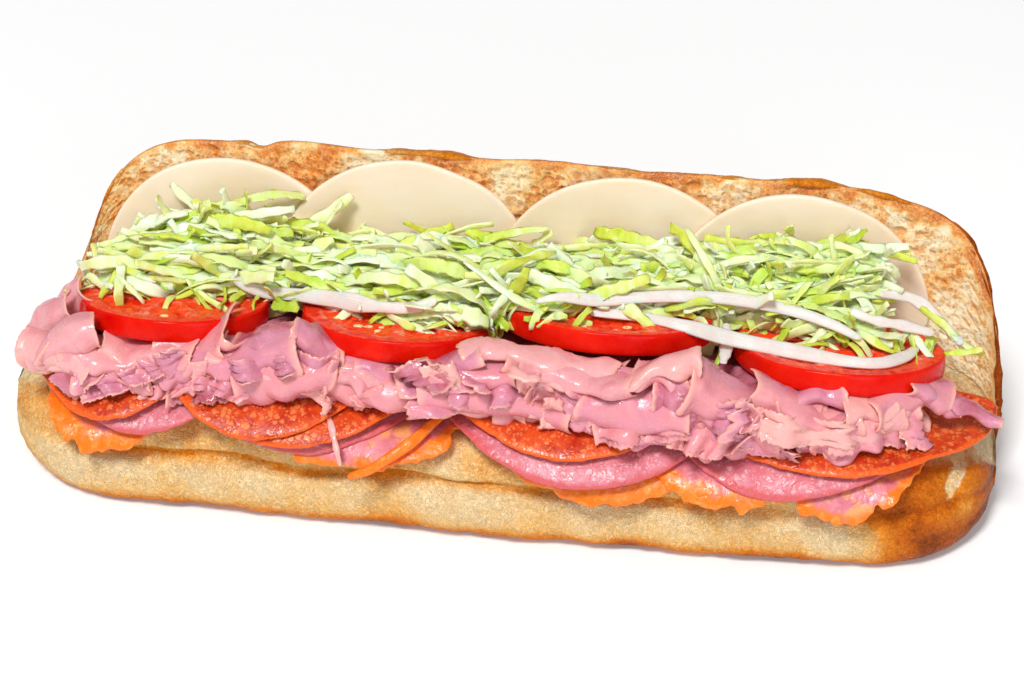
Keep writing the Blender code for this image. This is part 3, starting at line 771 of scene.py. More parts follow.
def cold_cut(number, middle, half_wide, front, layer, climb, ragged):
    """A thin oval slice: polar rings out to a rounded rim and back under, laid on the sheet."""
    edge = (0.95, 0.985, 1.0, 1.0, 0.985, 0.95)
    outward = np.concatenate([np.linspace(0.06, 0.9, 13), edge, np.linspace(0.9, 0.06, 8)])
    height = np.concatenate([np.ones(14), (0.93, 0.68, 0.32, 0.07), np.zeros(9)])
    turn = np.linspace(0.0, 2.0 * math.pi, 169)[:-1]
    r, angle = outward[:, None], turn[None, :]
    around = np.stack([np.cos(turn), np.sin(turn)], axis=-1)
    notches = smooth_step(0.7, 1.3, drift(around, 0.36, 95 + number, 2))
    tears = 1.3 * drift(around, 0.9, 70 + number) + 0.5 * drift(around, 0.2, 80 + number, 3) - 2.4 * notches
    outline = 1.0 + 0.012 * drift(around, 1.7, 50 + number) + ragged * tears
    middle_v = front + 33.0
    deep = np.where(np.sin(angle) < 0.0, 33.0, CUTS_BACK - middle_v)
    u = middle + half_wide * r * outline * np.cos(angle)
    v = middle_v + deep * r * outline * np.sin(angle)
    level = 0.4 + PITCH * layer + 0.0 * u
    if climb:
        low, high, way = climb
        level = level + PITCH * way * smooth_step(low, high, u)
    level = level + 0.35 * r**6 * drift(around, 0.9, 110 + number)
    points = on_sheet(u, v, level + 1.3 * height[:, None])
    share = np.broadcast_to(r * outline, u.shape)
    tone = np.broadcast_to(drift(around, 1.3, 130 + number), u.shape)
    return np.concatenate([points, share[..., None], tone[..., None]], axis=-1)


def meat_material(name, colours, fat, rim, ragged_rim=False):
    """Ground or sliced meat: slow mottling between two colours, fat specks of two sizes, and a
    rim of its own colour; wet and unevenly glossy."""
    deep, light, speck, edge = colours
    material, nodes, shader = new_material(
        name, Subsurface_Weight=0.08, Subsurface_Scale=0.002, Specular_IOR_Level=0.4
    )
    moist = nodes.group(moist_group(), Size=2.4, Dry=0.42, Wet=0.2)
    big = nodes.group(marbling_group(), Size=fat[0], Amount=fat[1], Twist=0.9)
    small = nodes.group(marbling_group(), Size=fat[2], Amount=fat[3], Twist=0.7)
    patch = nodes.span(nodes.noise(7.0, 4.0, 0.6, 0.8), 0.35, 0.68)
    base = nodes.mix(patch, deep, light)
    share = nodes.maths("MAXIMUM", big["Mask"], nodes.maths("MULTIPLY", small["Mask"], 0.75))
    base = nodes.mix(nodes.maths("MULTIPLY", share, 0.72), base, speck)
    out = nodes.attribute("share")
    wander = nodes.swing(nodes.noise(5.0, 4.0), 0.3 if ragged_rim else 0.05)
    band = nodes.span(nodes.maths("ADD", out, wander), rim[0], rim[1])
    if ragged_rim:
        edge = nodes.ramp(nodes.noise(3.4, 4.0, 0.6, 1.0), (0.5, edge), (0.8, speck))
    relief = nodes.maths("ADD", moist["Height"], nodes.maths("MULTIPLY", share, 0.5))
    nodes.dress(shader, nodes.mix(band, base, edge), moist["Roughness"], relief, 0.28)
    return material


# ---------------------------------------------------------------- tomato

# Middle along the roll, half-width, half-depth, front edge of the underside (y, z), seed
TOMATOES = (
    (-101.0, 29.5, 25.6, -27.6, 58.8, 3), (-31.0, 30.0, 25.8, -27.6, 58.8, 8),
    (31.5, 31.5, 23.0, -21.2, 63.3, 5), (100.5, 31.0, 25.8, -27.2, 60.7, 12),
)
TOMATO_THICK, TOMATO_CHAMBERS = 6.6, 6

def chamber_share(angle, seed):
    """0 on the walls between a slice's seed chambers and 1 in the chambers' middles."""
    turns = angle + 0.25 * np.sin(angle * 2.0 + seed) + seed
    return np.abs(np.sin(turns * TOMATO_CHAMBERS / 2.0)) ** 0.8

def tilted(depth_y, up, deep, front_y, front_z):
    """Where places on a slice lie (y, z): it slopes down towards its back from its front edge."""
    cosine, sine = math.cos(-TOMATO_TILT), math.sin(-TOMATO_TILT)
    y = front_y + deep * cosine + depth_y * cosine - up * sine
    return y, front_z + deep * sine + depth_y * sine + up * cosine


def tomato_slice(x, wide, deep, front_y, front_z, seed):
    """A slice as polar rings: up the inside of the face, round the skin and back underneath.
    The face sinks at its seed chambers, which lie between a ring of flesh and a core."""
    rng = np.random.default_rng(seed)
    face = np.linspace(0.03, 0.965, 46)
    side = np.array((0.985, 0.997, 1.0, 1.004, 1.006, 1.004, 1.0, 0.99, 0.975))
    under = np.linspace(0.93, 0.05, 9)
    r = np.concatenate([face, side, under])[:, None]
    skin_level = (0.0, -0.35, -1.2, -2.4, -3.6, -4.9, -6.0, -6.4, -TOMATO_THICK)
    level = np.concatenate([0.0 * face, skin_level, 0.0 * under - TOMATO_THICK])
    angle = np.linspace(0.0, 2.0 * math.pi, 193)[:-1][None, :]
    around = np.stack([np.cos(angle[0]), np.sin(angle[0])], axis=-1)
    outline = 1.0 + 0.012 * drift(around, 2.0, seed) - 0.012 * np.abs(np.sin(2.5 * angle + seed)) ** 3
    lobe = smooth_step(0.34, 0.62, chamber_share(angle, seed))
    lobe = lobe * smooth_step(0.24, 0.36, r) * smooth_step(0.83, 0.74, r)
    lobe = lobe * (0.8 + 0.2 * rng.random(1)[0])
    side_x, depth_y = wide * r * outline * np.cos(angle), deep * r * outline * np.sin(angle)
    flat = np.stack(np.broadcast_arrays(side_x, depth_y), axis=-1)
    on_face = (level[:, None] == 0.0) * smooth_step(0.985, 0.93, r)
    drop = 1.1 * lobe - 0.16 * drift(flat, 4.0, seed + 1) * on_face * (0.4 + lobe)
    up = TOMATO_THICK + level[:, None] - drop * on_face
    py, pz = tilted(depth_y, up, deep, front_y, front_z)
    skin = smooth_step(0.955, 0.985, r) + 0.0 * angle
    flesh = smooth_step(0.9, 0.8, r) + 0.0 * angle
    parts = np.broadcast_arrays(x + side_x, py, pz, skin, lobe * on_face, flesh)
    return np.stack(parts, axis=-1)


def tomato_seeds(x, wide, deep, front_y, front_z, seed):
    """Flattened seeds that lie in the chambers: spheres of few faces, drawn out along one way."""
    rng = np.random.default_rng(seed + 40)
    count = 16
    r = rng.uniform(0.4, 0.72, count)
    angle = rng.uniform(0.0, 2.0 * math.pi, count)
    kept = chamber_share(angle, seed) > 0.6
    r, angle = r[kept], angle[kept]
    size = rng.uniform(0.8, 1.15, len(r))[:, None, None]
    lean = rng.uniform(0.0, math.pi, len(r))[:, None, None]
    polar = np.linspace(0.25, math.pi - 0.25, 5)[None, :, None]
    round_ = np.linspace(0.0, 2.0 * math.pi, 9)[:-1][None, None, :]
    a = 1.5 * size * np.cos(polar) + 0.0 * round_
    b = 1.05 * size * np.sin(polar) * np.cos(round_)
    c = 0.5 * size * np.sin(polar) * np.sin(round_)
    side_x = (wide * r * np.cos(angle))[:, None, None] + a * np.cos(lean) - b * np.sin(lean)
    depth_y = (deep * r * np.sin(angle))[:, None, None] + a * np.sin(lean) + b * np.cos(lean)
    up = TOMATO_THICK - 1.0 + c
    py, pz = tilted(depth_y, up, deep, front_y, front_z)
    return np.stack([x + side_x, py, pz], axis=-1)


def tomato_material(settings):
    material, nodes, shader = new_material(
        "ripe tomato", Subsurface_Weight=0.2, Subsurface_Scale=0.003, Specular_IOR_Level=0.14
    )
    moist = nodes.group(moist_group(), Size=2.0, Dry=0.34, Wet=0.14)
    skin, gel, flesh = nodes.attribute("skin"), nodes.attribute("chamber"), nodes.attribute("flesh")
    veins = nodes.noise(4.2, 3.5, 0.55, 1.0)
    meat = nodes.ramp(veins, (0.3, settings.flesh), (0.5, settings.flesh), (0.66, settings.pale_flesh))
    wall = nodes.ramp(veins, (0.3, settings.skin), (0.6, settings.flesh))
    inner = nodes.mix(flesh, wall, meat)
    jelly = nodes.ramp(veins, (0.35, settings.gel), (0.5, settings.flesh), (0.68, settings.skin))
    inner = nodes.mix(nodes.span(gel, 0.25, 0.8), inner, jelly)
    peel = nodes.ramp(nodes.noise(9.0, 4.0, 0.6), (0.3, settings.skin), (0.8, settings.skin_light))
    peel = nodes.mix(nodes.span(nodes.cells(1.3), 0.12, 0.05, 0.0, 0.35), peel, settings.skin_light)
    colour = nodes.mix(nodes.span(skin, 0.3, 0.8), inner, peel)
    calm = nodes.span(skin, 0.2, 0.8, 1.0, 0.3)
    height = nodes.maths("MULTIPLY", nodes.maths("ADD", moist["Height"], veins), calm)
    nodes.dress(shader, colour, moist["Roughness"], height, 0.1)
    return material


# ---------------------------------------------------------------- cheese

# Middle along the roll and height of the highest point
CHEESES = ((-91.0, 83.6), (-34.5, 87.6), (33.0, 87.6), (86.5, 86.6))
CHEESE_RADIUS, CHEESE_LOWER, CHEESE_THICK = 41.0, 9.5, 1.9
CHEESE_LAP, CHEESE_GAP = 0.042, 0.5


def cheese_slice(number, x, top):
    """A round slice leaning on the upper half: polar rings over a face that bows gently, round
    a soft edge and back behind. Below its middle the slice ends at the hinge."""
    edge = (0.975, 0.99, 0.998, 1.0, 0.998, 0.99, 0.975)
    r = np.concatenate([np.linspace(0.04, 0.95, 15), edge, np.linspace(0.93, 0.05, 7)])
    level = np.concatenate([np.ones(16), (0.95, 0.8, 0.5, 0.2, 0.05), np.zeros(8)])[:, None]
    angle = np.linspace(0.0, 2.0 * math.pi, 161)[:-1][None, :]
    r = r[:, None]
    around = np.stack([np.cos(angle[0]), np.sin(angle[0])], axis=-1)
    radius = CHEESE_RADIUS * (1.0 + 0.004 * drift(around, 1.2, 200 + number))
    tall = np.where(np.sin(angle) > 0.0, radius, CHEESE_LOWER)
    side, along = radius * r * np.cos(angle), tall * r * np.sin(angle)
    plane = np.stack(np.broadcast_arrays(side, along), axis=-1)
    off = CHEESE_THICK * level + 0.25 * (1.0 + drift(plane, 60.0, 210 + number))
    off = off + 0.03 * drift(plane, 6.0, 220 + number)
    off = off + CHEESE_GAP + CHEESE_LAP * (CHEESE_RADIUS - side)
    middle = (top - HINGE_Z) / math.sin(OPENING) - CHEESE_RADIUS
    up = middle + along
    py = HINGE_Y + up * math.cos(OPENING) - off * math.sin(OPENING)
    pz = HINGE_Z + up * math.sin(OPENING) + off * math.cos(OPENING)
    return np.stack(np.broadcast_arrays(x + side, py, pz), axis=-1)


def cheese_material(settings):
    material, nodes, shader = new_material(
        "ivory cheese", Subsurface_Weight=0.3, Subsurface_Scale=0.004, Specular_IOR_Level=0.3
    )
    moist = nodes.group(moist_group(), Size=6.0, Dry=0.5, Wet=0.36)
    strokes = nodes.noise(3.0, 4.0, 0.6, 0.3, nodes.place((0.18, 1.0, 1.0)))
    patch = nodes.noise(22.0, 3.0)
    level = nodes.maths("ADD", nodes.maths("MULTIPLY", strokes, 0.3), nodes.maths("MULTIPLY", patch, 0.7))
    colour = nodes.ramp(level, (0.36, settings.shade), (0.6, settings.colour))
    nodes.dress(shader, colour, moist["Roughness"], strokes, 0.05)
    return material


# ---------------------------------------------------------------- shaved ham

HAM_LEFT, HAM_RIGHT = -147.0, 150.0
HAM_RIDGE = np.array((
    (-148.0, 48.0), (-138.0, 54.0), (-125.0, 60.5), (-108.0, 56.5), (-86.0, 59.5), (-66.0, 65.5),
    (-54.0, 65.0), (-44.0, 59.0), (-27.0, 57.5), (-12.0, 62.5), (0.0, 67.0), (20.0, 66.5),
    (43.0, 67.0), (60.0, 69.5), (72.0, 66.5), (84.0, 62.0), (98.0, 60.0), (113.0, 60.0),
    (126.0, 63.5), (138.0, 58.5), (150.0, 51.0),
))


def ham_front(x, share):
    """The heap's front: share 0 at its foot on the cold cuts, 1 at its ridge under the tomatoes."""
    ridge = np.interp(x, HAM_RIDGE[:, 0], HAM_RIDGE[:, 1])
    belly = np.sin(np.clip(share, 0.0, 1.0) * math.pi)
    y = -32.0 - 3.2 * bump_at(x, 62.0, 34.0) - 1.4 * belly + 0.9 * np.sin(x / 9.0)
    y = y + 1.5 * np.maximum(share - 0.7, 0.0)
    y = y + 17.0 * smooth_step(102.0, 136.0, x) + 5.0 * smooth_step(-122.0, -148.0, x)
    past = np.clip(LIP_Y - y, 0.0, 20.0)
    floor = SHEET_Z - LIP_RADIUS + np.sqrt(27.0**2 - past**2)
    return np.stack(np.broadcast_arrays(x, y, floor + (ridge - floor) * share), axis=-1)


def ham_core(rows, columns):
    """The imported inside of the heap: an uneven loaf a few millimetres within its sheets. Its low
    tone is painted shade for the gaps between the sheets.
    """
    x = np.linspace(HAM_LEFT + 14.0, HAM_RIGHT - 24.0, rows)[:, None]
    angle = np.linspace(0.0, 2.0 * math.pi, columns + 1)[:-1][None, :]
    ridge = np.interp(x, HAM_RIDGE[:, 0], HAM_RIDGE[:, 1])
    share = (x + 3.5) / 133.0
    tall, wide = end_fall(share, 9.0, 0.25), end_fall(share, 9.0, 0.3)
    low, high = SHEET_Z + CUTS_TOP + 0.8, np.minimum(ridge - 3.0, 59.0)
    middle, half = 0.5 * (low + high), 0.5 * (high - low) * tall
    cosine, sine = np.cos(angle), np.sin(angle)
    squared = np.maximum(np.abs(cosine), np.abs(sine)) ** 0.6
    y = -2.0 + 24.5 * wide * cosine / squared
    z = middle + half * sine / squared - 0.33 * (y + 26.0) * smooth_step(0.0, 1.0, sine)
    rings = np.stack(np.broadcast_arrays(x, y, z), axis=-1)
    lift = 1.1 * drift(rings, 12.0, 301, 3)
    rings = rings + lift[..., None] * np.stack([0.0 * lift, cosine + 0.0 * lift, sine + 0.0 * lift], axis=-1)
    # Painted shade: the inside gets a low tone so that the gaps between the sheets look shaded
    return np.concatenate([rings, 0.1 + 0.0 * rings[..., :1], 0.0 * rings[..., :1]], axis=-1)


def ham_folds(table, rows, columns, seed):
    """Sheets folded over a rounded front. Each row of the table holds the middle along the roll,
    its share of the heap's height, the length, half the height, the depth, the slope along the
    roll, where the sheet starts above and ends below (turns from the front, in degrees), the
    depth of the waves along its hem, how far it stands out, and its tone. A section is an arc
    (depth cos, height sin) carried along the heap's front; hems are torn and waved. The tone is
    darkened as painted shade where the sheet turns far from the front, in its creases."""
    rng = np.random.default_rng(seed)
    t = np.asarray(table, float)
    x0, share0, long, tall, deep, slope, over, under, waves, out, tone = (v[:, None, None] for v in t.T)
    count = len(t)
    each = (count, 1, 1)
    b = np.linspace(-1.0, 1.0, columns)[None, None, :]
    a = np.linspace(0.0, 1.0, rows)[None, :, None]
    torn = rng.normal(size=(count, 2, columns))
    walk = np.cumsum(torn, axis=2) / math.sqrt(columns)
    torn = 0.3 * torn + 1.3 * (walk - walk.mean(axis=2, keepdims=True))
    ends = rng.normal(size=(count, rows + 2, 2))
    ends = (0.25 * ends + 1.6 * np.cumsum(ends, axis=1) / math.sqrt(rows))[:, 1:-1]
    reach = 1.0 + 0.02 * np.where(b < 0.0, ends[:, :, :1], ends[:, :, 1:]) * np.abs(b) ** 3
    along = 0.5 * long * b * reach
    x = x0 + along * np.cos(np.radians(slope))
    ridge_room = 16.0
    share = share0 + along * np.sin(np.radians(slope)) / ridge_room
    bend = rng.uniform(-1.0, 1.0, each) * 0.09 * np.cos(1.7 * b + rng.uniform(0.0, PHASES, each))
    path = ham_front(x, share + bend)
    ahead = unit(np.gradient(path, axis=2))
    outward = unit(np.stack([0.0 * b, -1.0 + 0.0 * b, 0.28 + 0.0 * b], axis=-1) + 0.0 * path)
    upward = unit(np.cross(outward, ahead))
    upward = upward * np.where(upward[..., 2:] < 0.0, -1.0, 1.0)
    outward = outward - (outward * ahead).sum(axis=-1, keepdims=True) * ahead
    first, last = np.radians(over), np.radians(under)
    top, end = first * (1.0 - 0.05 * np.abs(torn[:, :1])), last * (1.0 - 0.05 * np.abs(torn[:, 1:]))
    turn = top - (top + end) * a
    fatter = 1.0 + 0.14 * np.sin(b * rng.uniform(1.5, 4.0, each) + rng.uniform(0.0, PHASES, each))
    rise = tall * fatter * np.sign(np.sin(turn)) * np.abs(np.sin(turn)) ** 0.85
    push = deep * (np.cos(turn) - 1.0) + out
    beat = rng.uniform(0.09, 0.17, each) * long * b + rng.uniform(0.0, PHASES, each)
    hem = smooth_step(0.45, 1.0, a)
    push = push + waves * hem * np.sin(beat * 2.2) + 0.55 * waves * np.sin(beat * 1.1 + 1.0)
    rise = rise + 0.4 * waves * hem * np.cos(beat * 2.2 + 0.6)
    flare = np.abs(b) ** 6
    push, rise = push + 0.9 * flare, rise * (1.0 + 0.12 * flare)
    points = path + rise[..., None] * upward + push[..., None] * outward
    for axis in range(3):
        slow = 0.75 * drift(points, 19.0, seed + 10 + axis, 1)
        points[..., axis] += slow + 0.12 * drift(points, 5.5, seed + 20 + axis, 1)
    border = np.maximum(np.abs(b) + 0.0 * a, np.abs(2.0 * a - 1.0) + 0.0 * b)
    border = np.broadcast_to(border, rise.shape)
    # Painted shade: the tone darkens towards rose where the sheet turns far from the front, in its creases
    tones_with_crease_shade = np.clip(tone - 0.55 * smooth_step(0.9, 2.0, np.abs(turn)), 0.0, 1.0) + 0.0 * rise
    return np.concatenate([points, tones_with_crease_shade[..., None], border[..., None]], axis=-1)


def packed_folds(seed=401):
    """Folds in five uneven courses that fill the heap's front, most of them level."""
    rng = np.random.default_rng(seed)
    count = 52
    order = np.arange(count)
    x = np.linspace(-130.0, 122.0, count) + rng.uniform(-6.0, 6.0, count)
    share = np.array((0.12, 0.62, 0.34, 0.86, 0.5))[order % 5] + rng.uniform(-0.07, 0.07, count)
    long = rng.uniform(22.0, 50.0, count) * (1.0 - 0.5 * (np.abs(x) > 108.0))
    tall, deep = rng.uniform(2.2, 4.6, count), rng.uniform(5.0, 10.0, count)
    slope = rng.normal(0.0, 9.0, count)
    over, under = rng.uniform(80.0, 150.0, count), rng.uniform(5.0, 80.0, count)
    waves, out = rng.uniform(0.5, 1.9, count), rng.uniform(-4.2, -0.4, count)
    tone = rng.uniform(0.0, 1.0, count)
    return np.stack([x, share, long, tall, deep, slope, over, under, waves, out, tone], axis=1)


# The folds that lie over the others, as ham_folds reads them
LEADING_FOLDS = (
    (-131.0, 0.62, 24.0, 5.5, 8.0, -16.0, 95.0, 62.0, 0.8, 1.0, 0.85),
    (-134.0, 0.3, 15.0, 3.4, 6.0, 20.0, 110.0, 60.0, 0.8, 0.4, 0.9),
    (-108.0, 0.66, 38.0, 4.4, 9.0, 3.0, 120.0, 70.0, 0.7, 0.2, 0.75),
    (-76.0, 0.72, 40.0, 5.4, 9.0, 6.0, 110.0, 50.0, 0.9, 0.4, 0.35),
    (-61.0, 0.48, 30.0, 8.2, 9.0, 8.0, 100.0, 72.0, 0.8, 1.2, 0.5),
    (-84.0, 0.16, 34.0, 3.2, 7.0, -4.0, 120.0, 60.0, 0.5, 0.8, 0.2),
    (-33.0, 0.4, 32.0, 6.2, 9.0, -3.0, 110.0, 70.0, 1.0, 0.6, 0.55),
    (2.0, 0.34, 46.0, 6.6, 10.0, -5.0, 115.0, 92.0, 0.4, 1.3, 0.45),
    (-6.0, 0.82, 28.0, 3.4, 8.0, -8.0, 110.0, 60.0, 0.7, 0.3, 0.5),
    (26.0, 0.78, 34.0, 3.6, 8.0, 2.0, 120.0, 50.0, 1.2, 0.6, 0.7),
    (43.0, 0.4, 32.0, 6.8, 10.0, -4.0, 110.0, 84.0, 0.5, 1.4, 0.4),
    (34.0, 0.06, 44.0, 2.6, 8.0, -3.0, 100.0, 60.0, 0.4, 1.6, 0.15),
    (72.0, 0.6, 30.0, 7.4, 9.0, -14.0, 105.0, 70.0, 1.1, 1.0, 0.5),
    (92.0, 0.72, 34.0, 4.2, 8.0, -3.0, 120.0, 55.0, 1.2, 0.3, 0.6),
    (108.0, 0.4, 26.0, 5.2, 8.0, 4.0, 100.0, 60.0, 1.3, 0.4, 0.8),
    (124.0, 0.6, 22.0, 4.0, 7.0, -8.0, 120.0, 60.0, 1.2, 0.6, 0.5),
    (138.0, 0.34, 25.0, 1.7, 3.0, -26.0, 110.0, 70.0, 1.0, 0.6, 0.15),
    (130.0, 0.55, 20.0, 2.4, 4.0, -30.0, 110.0, 70.0, 1.4, 1.0, 0.3),
    (-128.0, 0.86, 26.0, 4.6, 8.0, 30.0, 100.0, 60.0, 0.8, 1.0, 0.74),
    (-137.0, 0.95, 19.0, 5.4, 7.0, 36.0, 100.0, 70.0, 1.0, -10.0, 0.7),
    (-138.0, 1.2, 15.0, 4.2, 6.0, 30.0, 110.0, 70.0, 1.0, -20.0, 0.75),
    (-112.0, 0.22, 24.0, 2.8, 6.0, 12.0, 110.0, 50.0, 2.2, 0.8, 0.3),
    (-96.0, 0.36, 20.0, 3.0, 6.0, -20.0, 110.0, 50.0, 2.4, 1.0, 0.45),
    (112.0, 0.14, 26.0, 2.8, 6.0, 10.0, 110.0, 50.0, 2.2, 0.8, 0.4),
    (60.0, 0.14, 26.0, 3.0, 7.0, 6.0, 110.0, 60.0, 1.6, 1.4, 0.25),
)


def folded_sheets(middles, travel, facing, long, wide, folds, turns, hem, rows, columns, seed, crumple):
    """Sheets folded back and forth. Along each one the heading swings as turns * sin(folds), as
    in a hanging ribbon, and winds up by `hem` at its far end; the path is the running sum of
    that heading. Borders are ragged, and slow noise crumples the whole."""
    rng = np.random.default_rng(seed)
    count = len(middles)
    each = (count, 1, 1)
    ragged = rng.normal(0.0, 1.0, (count, 2, columns))
    ragged = 0.6 * ragged + 0.5 * np.cumsum(ragged, axis=2) / math.sqrt(columns)
    start, stop = -0.04 * np.abs(ragged[:, 0]), 1.0 + 0.04 * np.abs(ragged[:, 1])
    step = np.linspace(0.0, 1.0, rows)[None, :, None]
    a = start[:, None, :] + (stop - start)[:, None, :] * step
    b = np.linspace(-1.0, 1.0, columns)[None, None, :]
    phase = rng.uniform(0.0, PHASES, each)
    sway = rng.uniform(-0.9, 0.9, each)
    swing = turns[:, None, None] * (1.0 + 0.3 * b * rng.uniform(-1, 1, each))
    heading = swing * np.sin(WHOLE_TURN * folds[:, None, None] * a + phase + sway * b)
    wound = smooth_step(0.62, 1.0, a + 0.06 * b * rng.uniform(-1, 1, each))
    heading = heading + hem[:, None, None] * wound**1.2
    length = long[:, None, None] * (stop - start)[:, None, :] / (rows - 1)
    run, rise = np.cumsum(np.cos(heading), axis=1) * length, np.cumsum(np.sin(heading), axis=1) * length
    run, rise = run - run.mean(axis=(1, 2), keepdims=True), rise - rise.mean(axis=(1, 2), keepdims=True)
    torn = rng.normal(0.0, 1.0, (count, rows, 2))
    sides = np.clip(1.0 + 0.05 * torn + 0.16 * np.cumsum(torn, axis=1) / math.sqrt(rows), 0.6, 1.3)
    half = 0.5 * wide[:, None, None] * b * np.where(b < 0.0, sides[:, :, :1], sides[:, :, 1:])
    across = unit(np.cross(facing, travel))
    points = middles[:, None, None] + run[..., None] * travel[:, None, None]
    points = points + rise[..., None] * facing[:, None, None] + half[..., None] * across[:, None, None]
    for axis in range(3):
        points[..., axis] += crumple * drift(points, 24.0, seed + 10 + axis, 1)
        points[..., axis] += 0.16 * crumple * drift(points, 7.0, seed + 20 + axis, 1)
    tone = np.broadcast_to(rng.uniform(0.0, 1.0, each) ** 1.2, a.shape)
    border = np.maximum(np.abs(b) + 0.0 * a, np.abs(2.0 * step - 1.0) + 0.0 * b)
    return np.concatenate([points, tone[..., None], border[..., None]], axis=-1)


def square_to(ways, outward):
    """Unit vectors nearest to `outward` that stand square to `ways`."""
    return unit(outward - (outward * ways).sum(axis=1, keepdims=True) * ways)


def ruffled_ham(seed=431):
    """Narrower sheets that run along the roll in tight upright folds."""
    rng = np.random.default_rng(seed)
    count = 14
    x = np.linspace(-122.0, 114.0, count) + rng.uniform(-5.0, 5.0, count)
    share = rng.uniform(0.1, 0.85, count)
    middles = ham_front(x, share)
    middles[:, 1] += rng.uniform(-0.8, 2.0, count)
    ways = [1.0 + 0.0 * x, rng.normal(0.0, 0.1, count), rng.normal(0.0, 0.35, count)]
    along = unit(np.stack(ways, axis=-1))
    out = np.stack([rng.normal(0.0, 0.2, count), -1.0 + 0.0 * x, rng.uniform(0.1, 0.6, count)], axis=-1)
    facing = square_to(along, out)
    long, wide = rng.uniform(20.0, 40.0, count), rng.uniform(6.0, 12.0, count)
    folds, turns = long / rng.uniform(15.0, 26.0, count), rng.uniform(0.6, 1.2, count)
    hem = rng.uniform(-2.6, 2.6, count)
    return folded_sheets(middles, along, facing, long, wide, folds, turns, hem, 52, 13, seed, 0.6)


# Narrow gathered frills: middle along the roll, share of the heap's height, length
FRILLS = ((-110.0, 0.3, 26.0), (-96.0, 0.14, 22.0), (-80.0, 0.3, 18.0), (66.0, 0.2, 22.0))


def gathered_frills(seed=481):
    """Narrow sheets gathered into upright waves across their length, at the places of FRILLS."""
    rng = np.random.default_rng(seed)
    x, share, long = np.array(FRILLS).T
    count = len(x)
    middles = ham_front(x, share)
    middles[:, 1] -= 1.5
    along = unit(np.stack([1.0 + 0.0 * x, 0.0 * x, rng.normal(0.0, 0.2, count)], axis=-1))
    facing = square_to(along, np.stack([0.0 * x, -1.0 + 0.0 * x, 0.7 + 0.0 * x], axis=-1))
    wide, folds = rng.uniform(5.0, 8.0, count), long / rng.uniform(6.5, 9.0, count)
    turns, hem = rng.uniform(1.1, 1.5, count), rng.uniform(-1.0, 1.0, count)
    return folded_sheets(middles, along, facing, long * 1.5, wide, folds, turns, hem, 84, 11, seed, 0.9)


def ham_shavings(seed=461):
    """Small curled scraps over the heap's front."""
    rng = np.random.default_rng(seed)
    count = 16
    x = rng.uniform(-128.0, 116.0, count)
    middles = ham_front(x, rng.uniform(0.02, 0.95, count))
    middles[:, 1] -= rng.uniform(0.3, 2.0, count)
    travel = unit(rng.normal(size=(count, 3)) * np.array((1.0, 0.2, 0.8)))
    facing = square_to(travel, rng.normal(size=(count, 3)) * 0.2 + np.array((0.0, -1.0, 0.4)))
    long, wide = rng.uniform(7.0, 16.0, count), rng.uniform(4.0, 9.0, count)
    folds, turns = rng.uniform(0.4, 1.0, count), rng.uniform(0.3, 0.9, count)
    hem = rng.uniform(-3.0, 3.0, count)
    return folded_sheets(middles, travel, facing, long, wide, folds, turns, hem, 20, 9, seed, 0.4)


def ham_material(settings):
    material, nodes, shader = new_material(
        "shaved ham", Subsurface_Weight=0.12, Subsurface_Scale=0.0015, Specular_IOR_Level=0.5
    )
    moist = nodes.group(moist_group(), Size=3.2, Dry=0.38, Wet=0.13)
    tone, border = nodes.attribute("tone"), nodes.attribute("border")
    patch = nodes.noise(6.0, 4.0, 0.6, 0.7)
    level = nodes.maths("ADD", nodes.maths("MULTIPLY", tone, 0.7), nodes.maths("MULTIPLY", patch, 0.5))
    # The tone attribute also carries painted shade: darkened in the folds' creases and on the heap's inside,
    # it falls to the rose end of this ramp
    colour = nodes.ramp(
        level, (0.2, settings.rose_and_crease_shade), (0.42, settings.lavender), (0.62, settings.pink), (0.9, settings.pale)
    )
    edge = nodes.span(nodes.maths("ADD", border, nodes.maths("MULTIPLY", patch, 0.1)), 0.9, 1.04, 0.0, 0.8)
    salmon = nodes.maths("MAXIMUM", edge, nodes.span(tone, 0.72, 0.95, 0.0, 0.5))
    colour = nodes.mix(salmon, colour, settings.edge)
    grain = nodes.noise(1.3, 4.0, 0.6)
    colour = nodes.mix(nodes.span(grain, 0.55, 0.75, 0.0, 0.3), colour, settings.pale)
    relief = nodes.maths("ADD", moist["Height"], nodes.maths("MULTIPLY", grain, 0.3))
    nodes.dress(shader, colour, moist["Roughness"], relief, 0.3)
    return material


# ---------------------------------------------------------------- shredded lettuce

LETTUCE_TOPS = np.array((
    (-138.0, 58.0), (-120.0, 63.5), (-108.0, 68.5), (-86.0, 71.5), (-62.0, 65.5), (-36.0, 65.5),
    (-10.0, 68.5), (14.0, 68.5), (56.0, 70.0), (76.0, 74.5), (104.0, 77.0), (120.0, 71.0), (138.0, 62.0),
))
LETTUCE_FRONTS = np.array((
    (-138.0, 6.0), (-122.0, -1.0), (-111.0, -4.0), (-91.0, -3.0), (-74.0, 4.0), (-53.0, 0.0),
    (-30.0, -7.5), (-14.0, -8.0), (0.0, -5.5), (17.0, -8.0), (34.0, 0.0), (58.0, 2.5),
    (77.0, 3.5), (96.0, -0.5), (112.0, -0.5), (128.0, 3.0), (138.0, 8.0),
))


def tomato_level(x, y):
    """Height that the lettuce rests at: the faces of the tomatoes, and ham between them."""
    level = 64.5 - 0.325 * (y + 25.0) + 0.0 * x
    for tomato in TOMATOES:
        face = tomato[4] - (y - tomato[3]) * math.tan(TOMATO_TILT) + TOMATO_THICK / math.cos(TOMATO_TILT)
        level = np.where(np.abs(x - tomato[0]) < tomato[1], np.maximum(level, face), level)
    return level


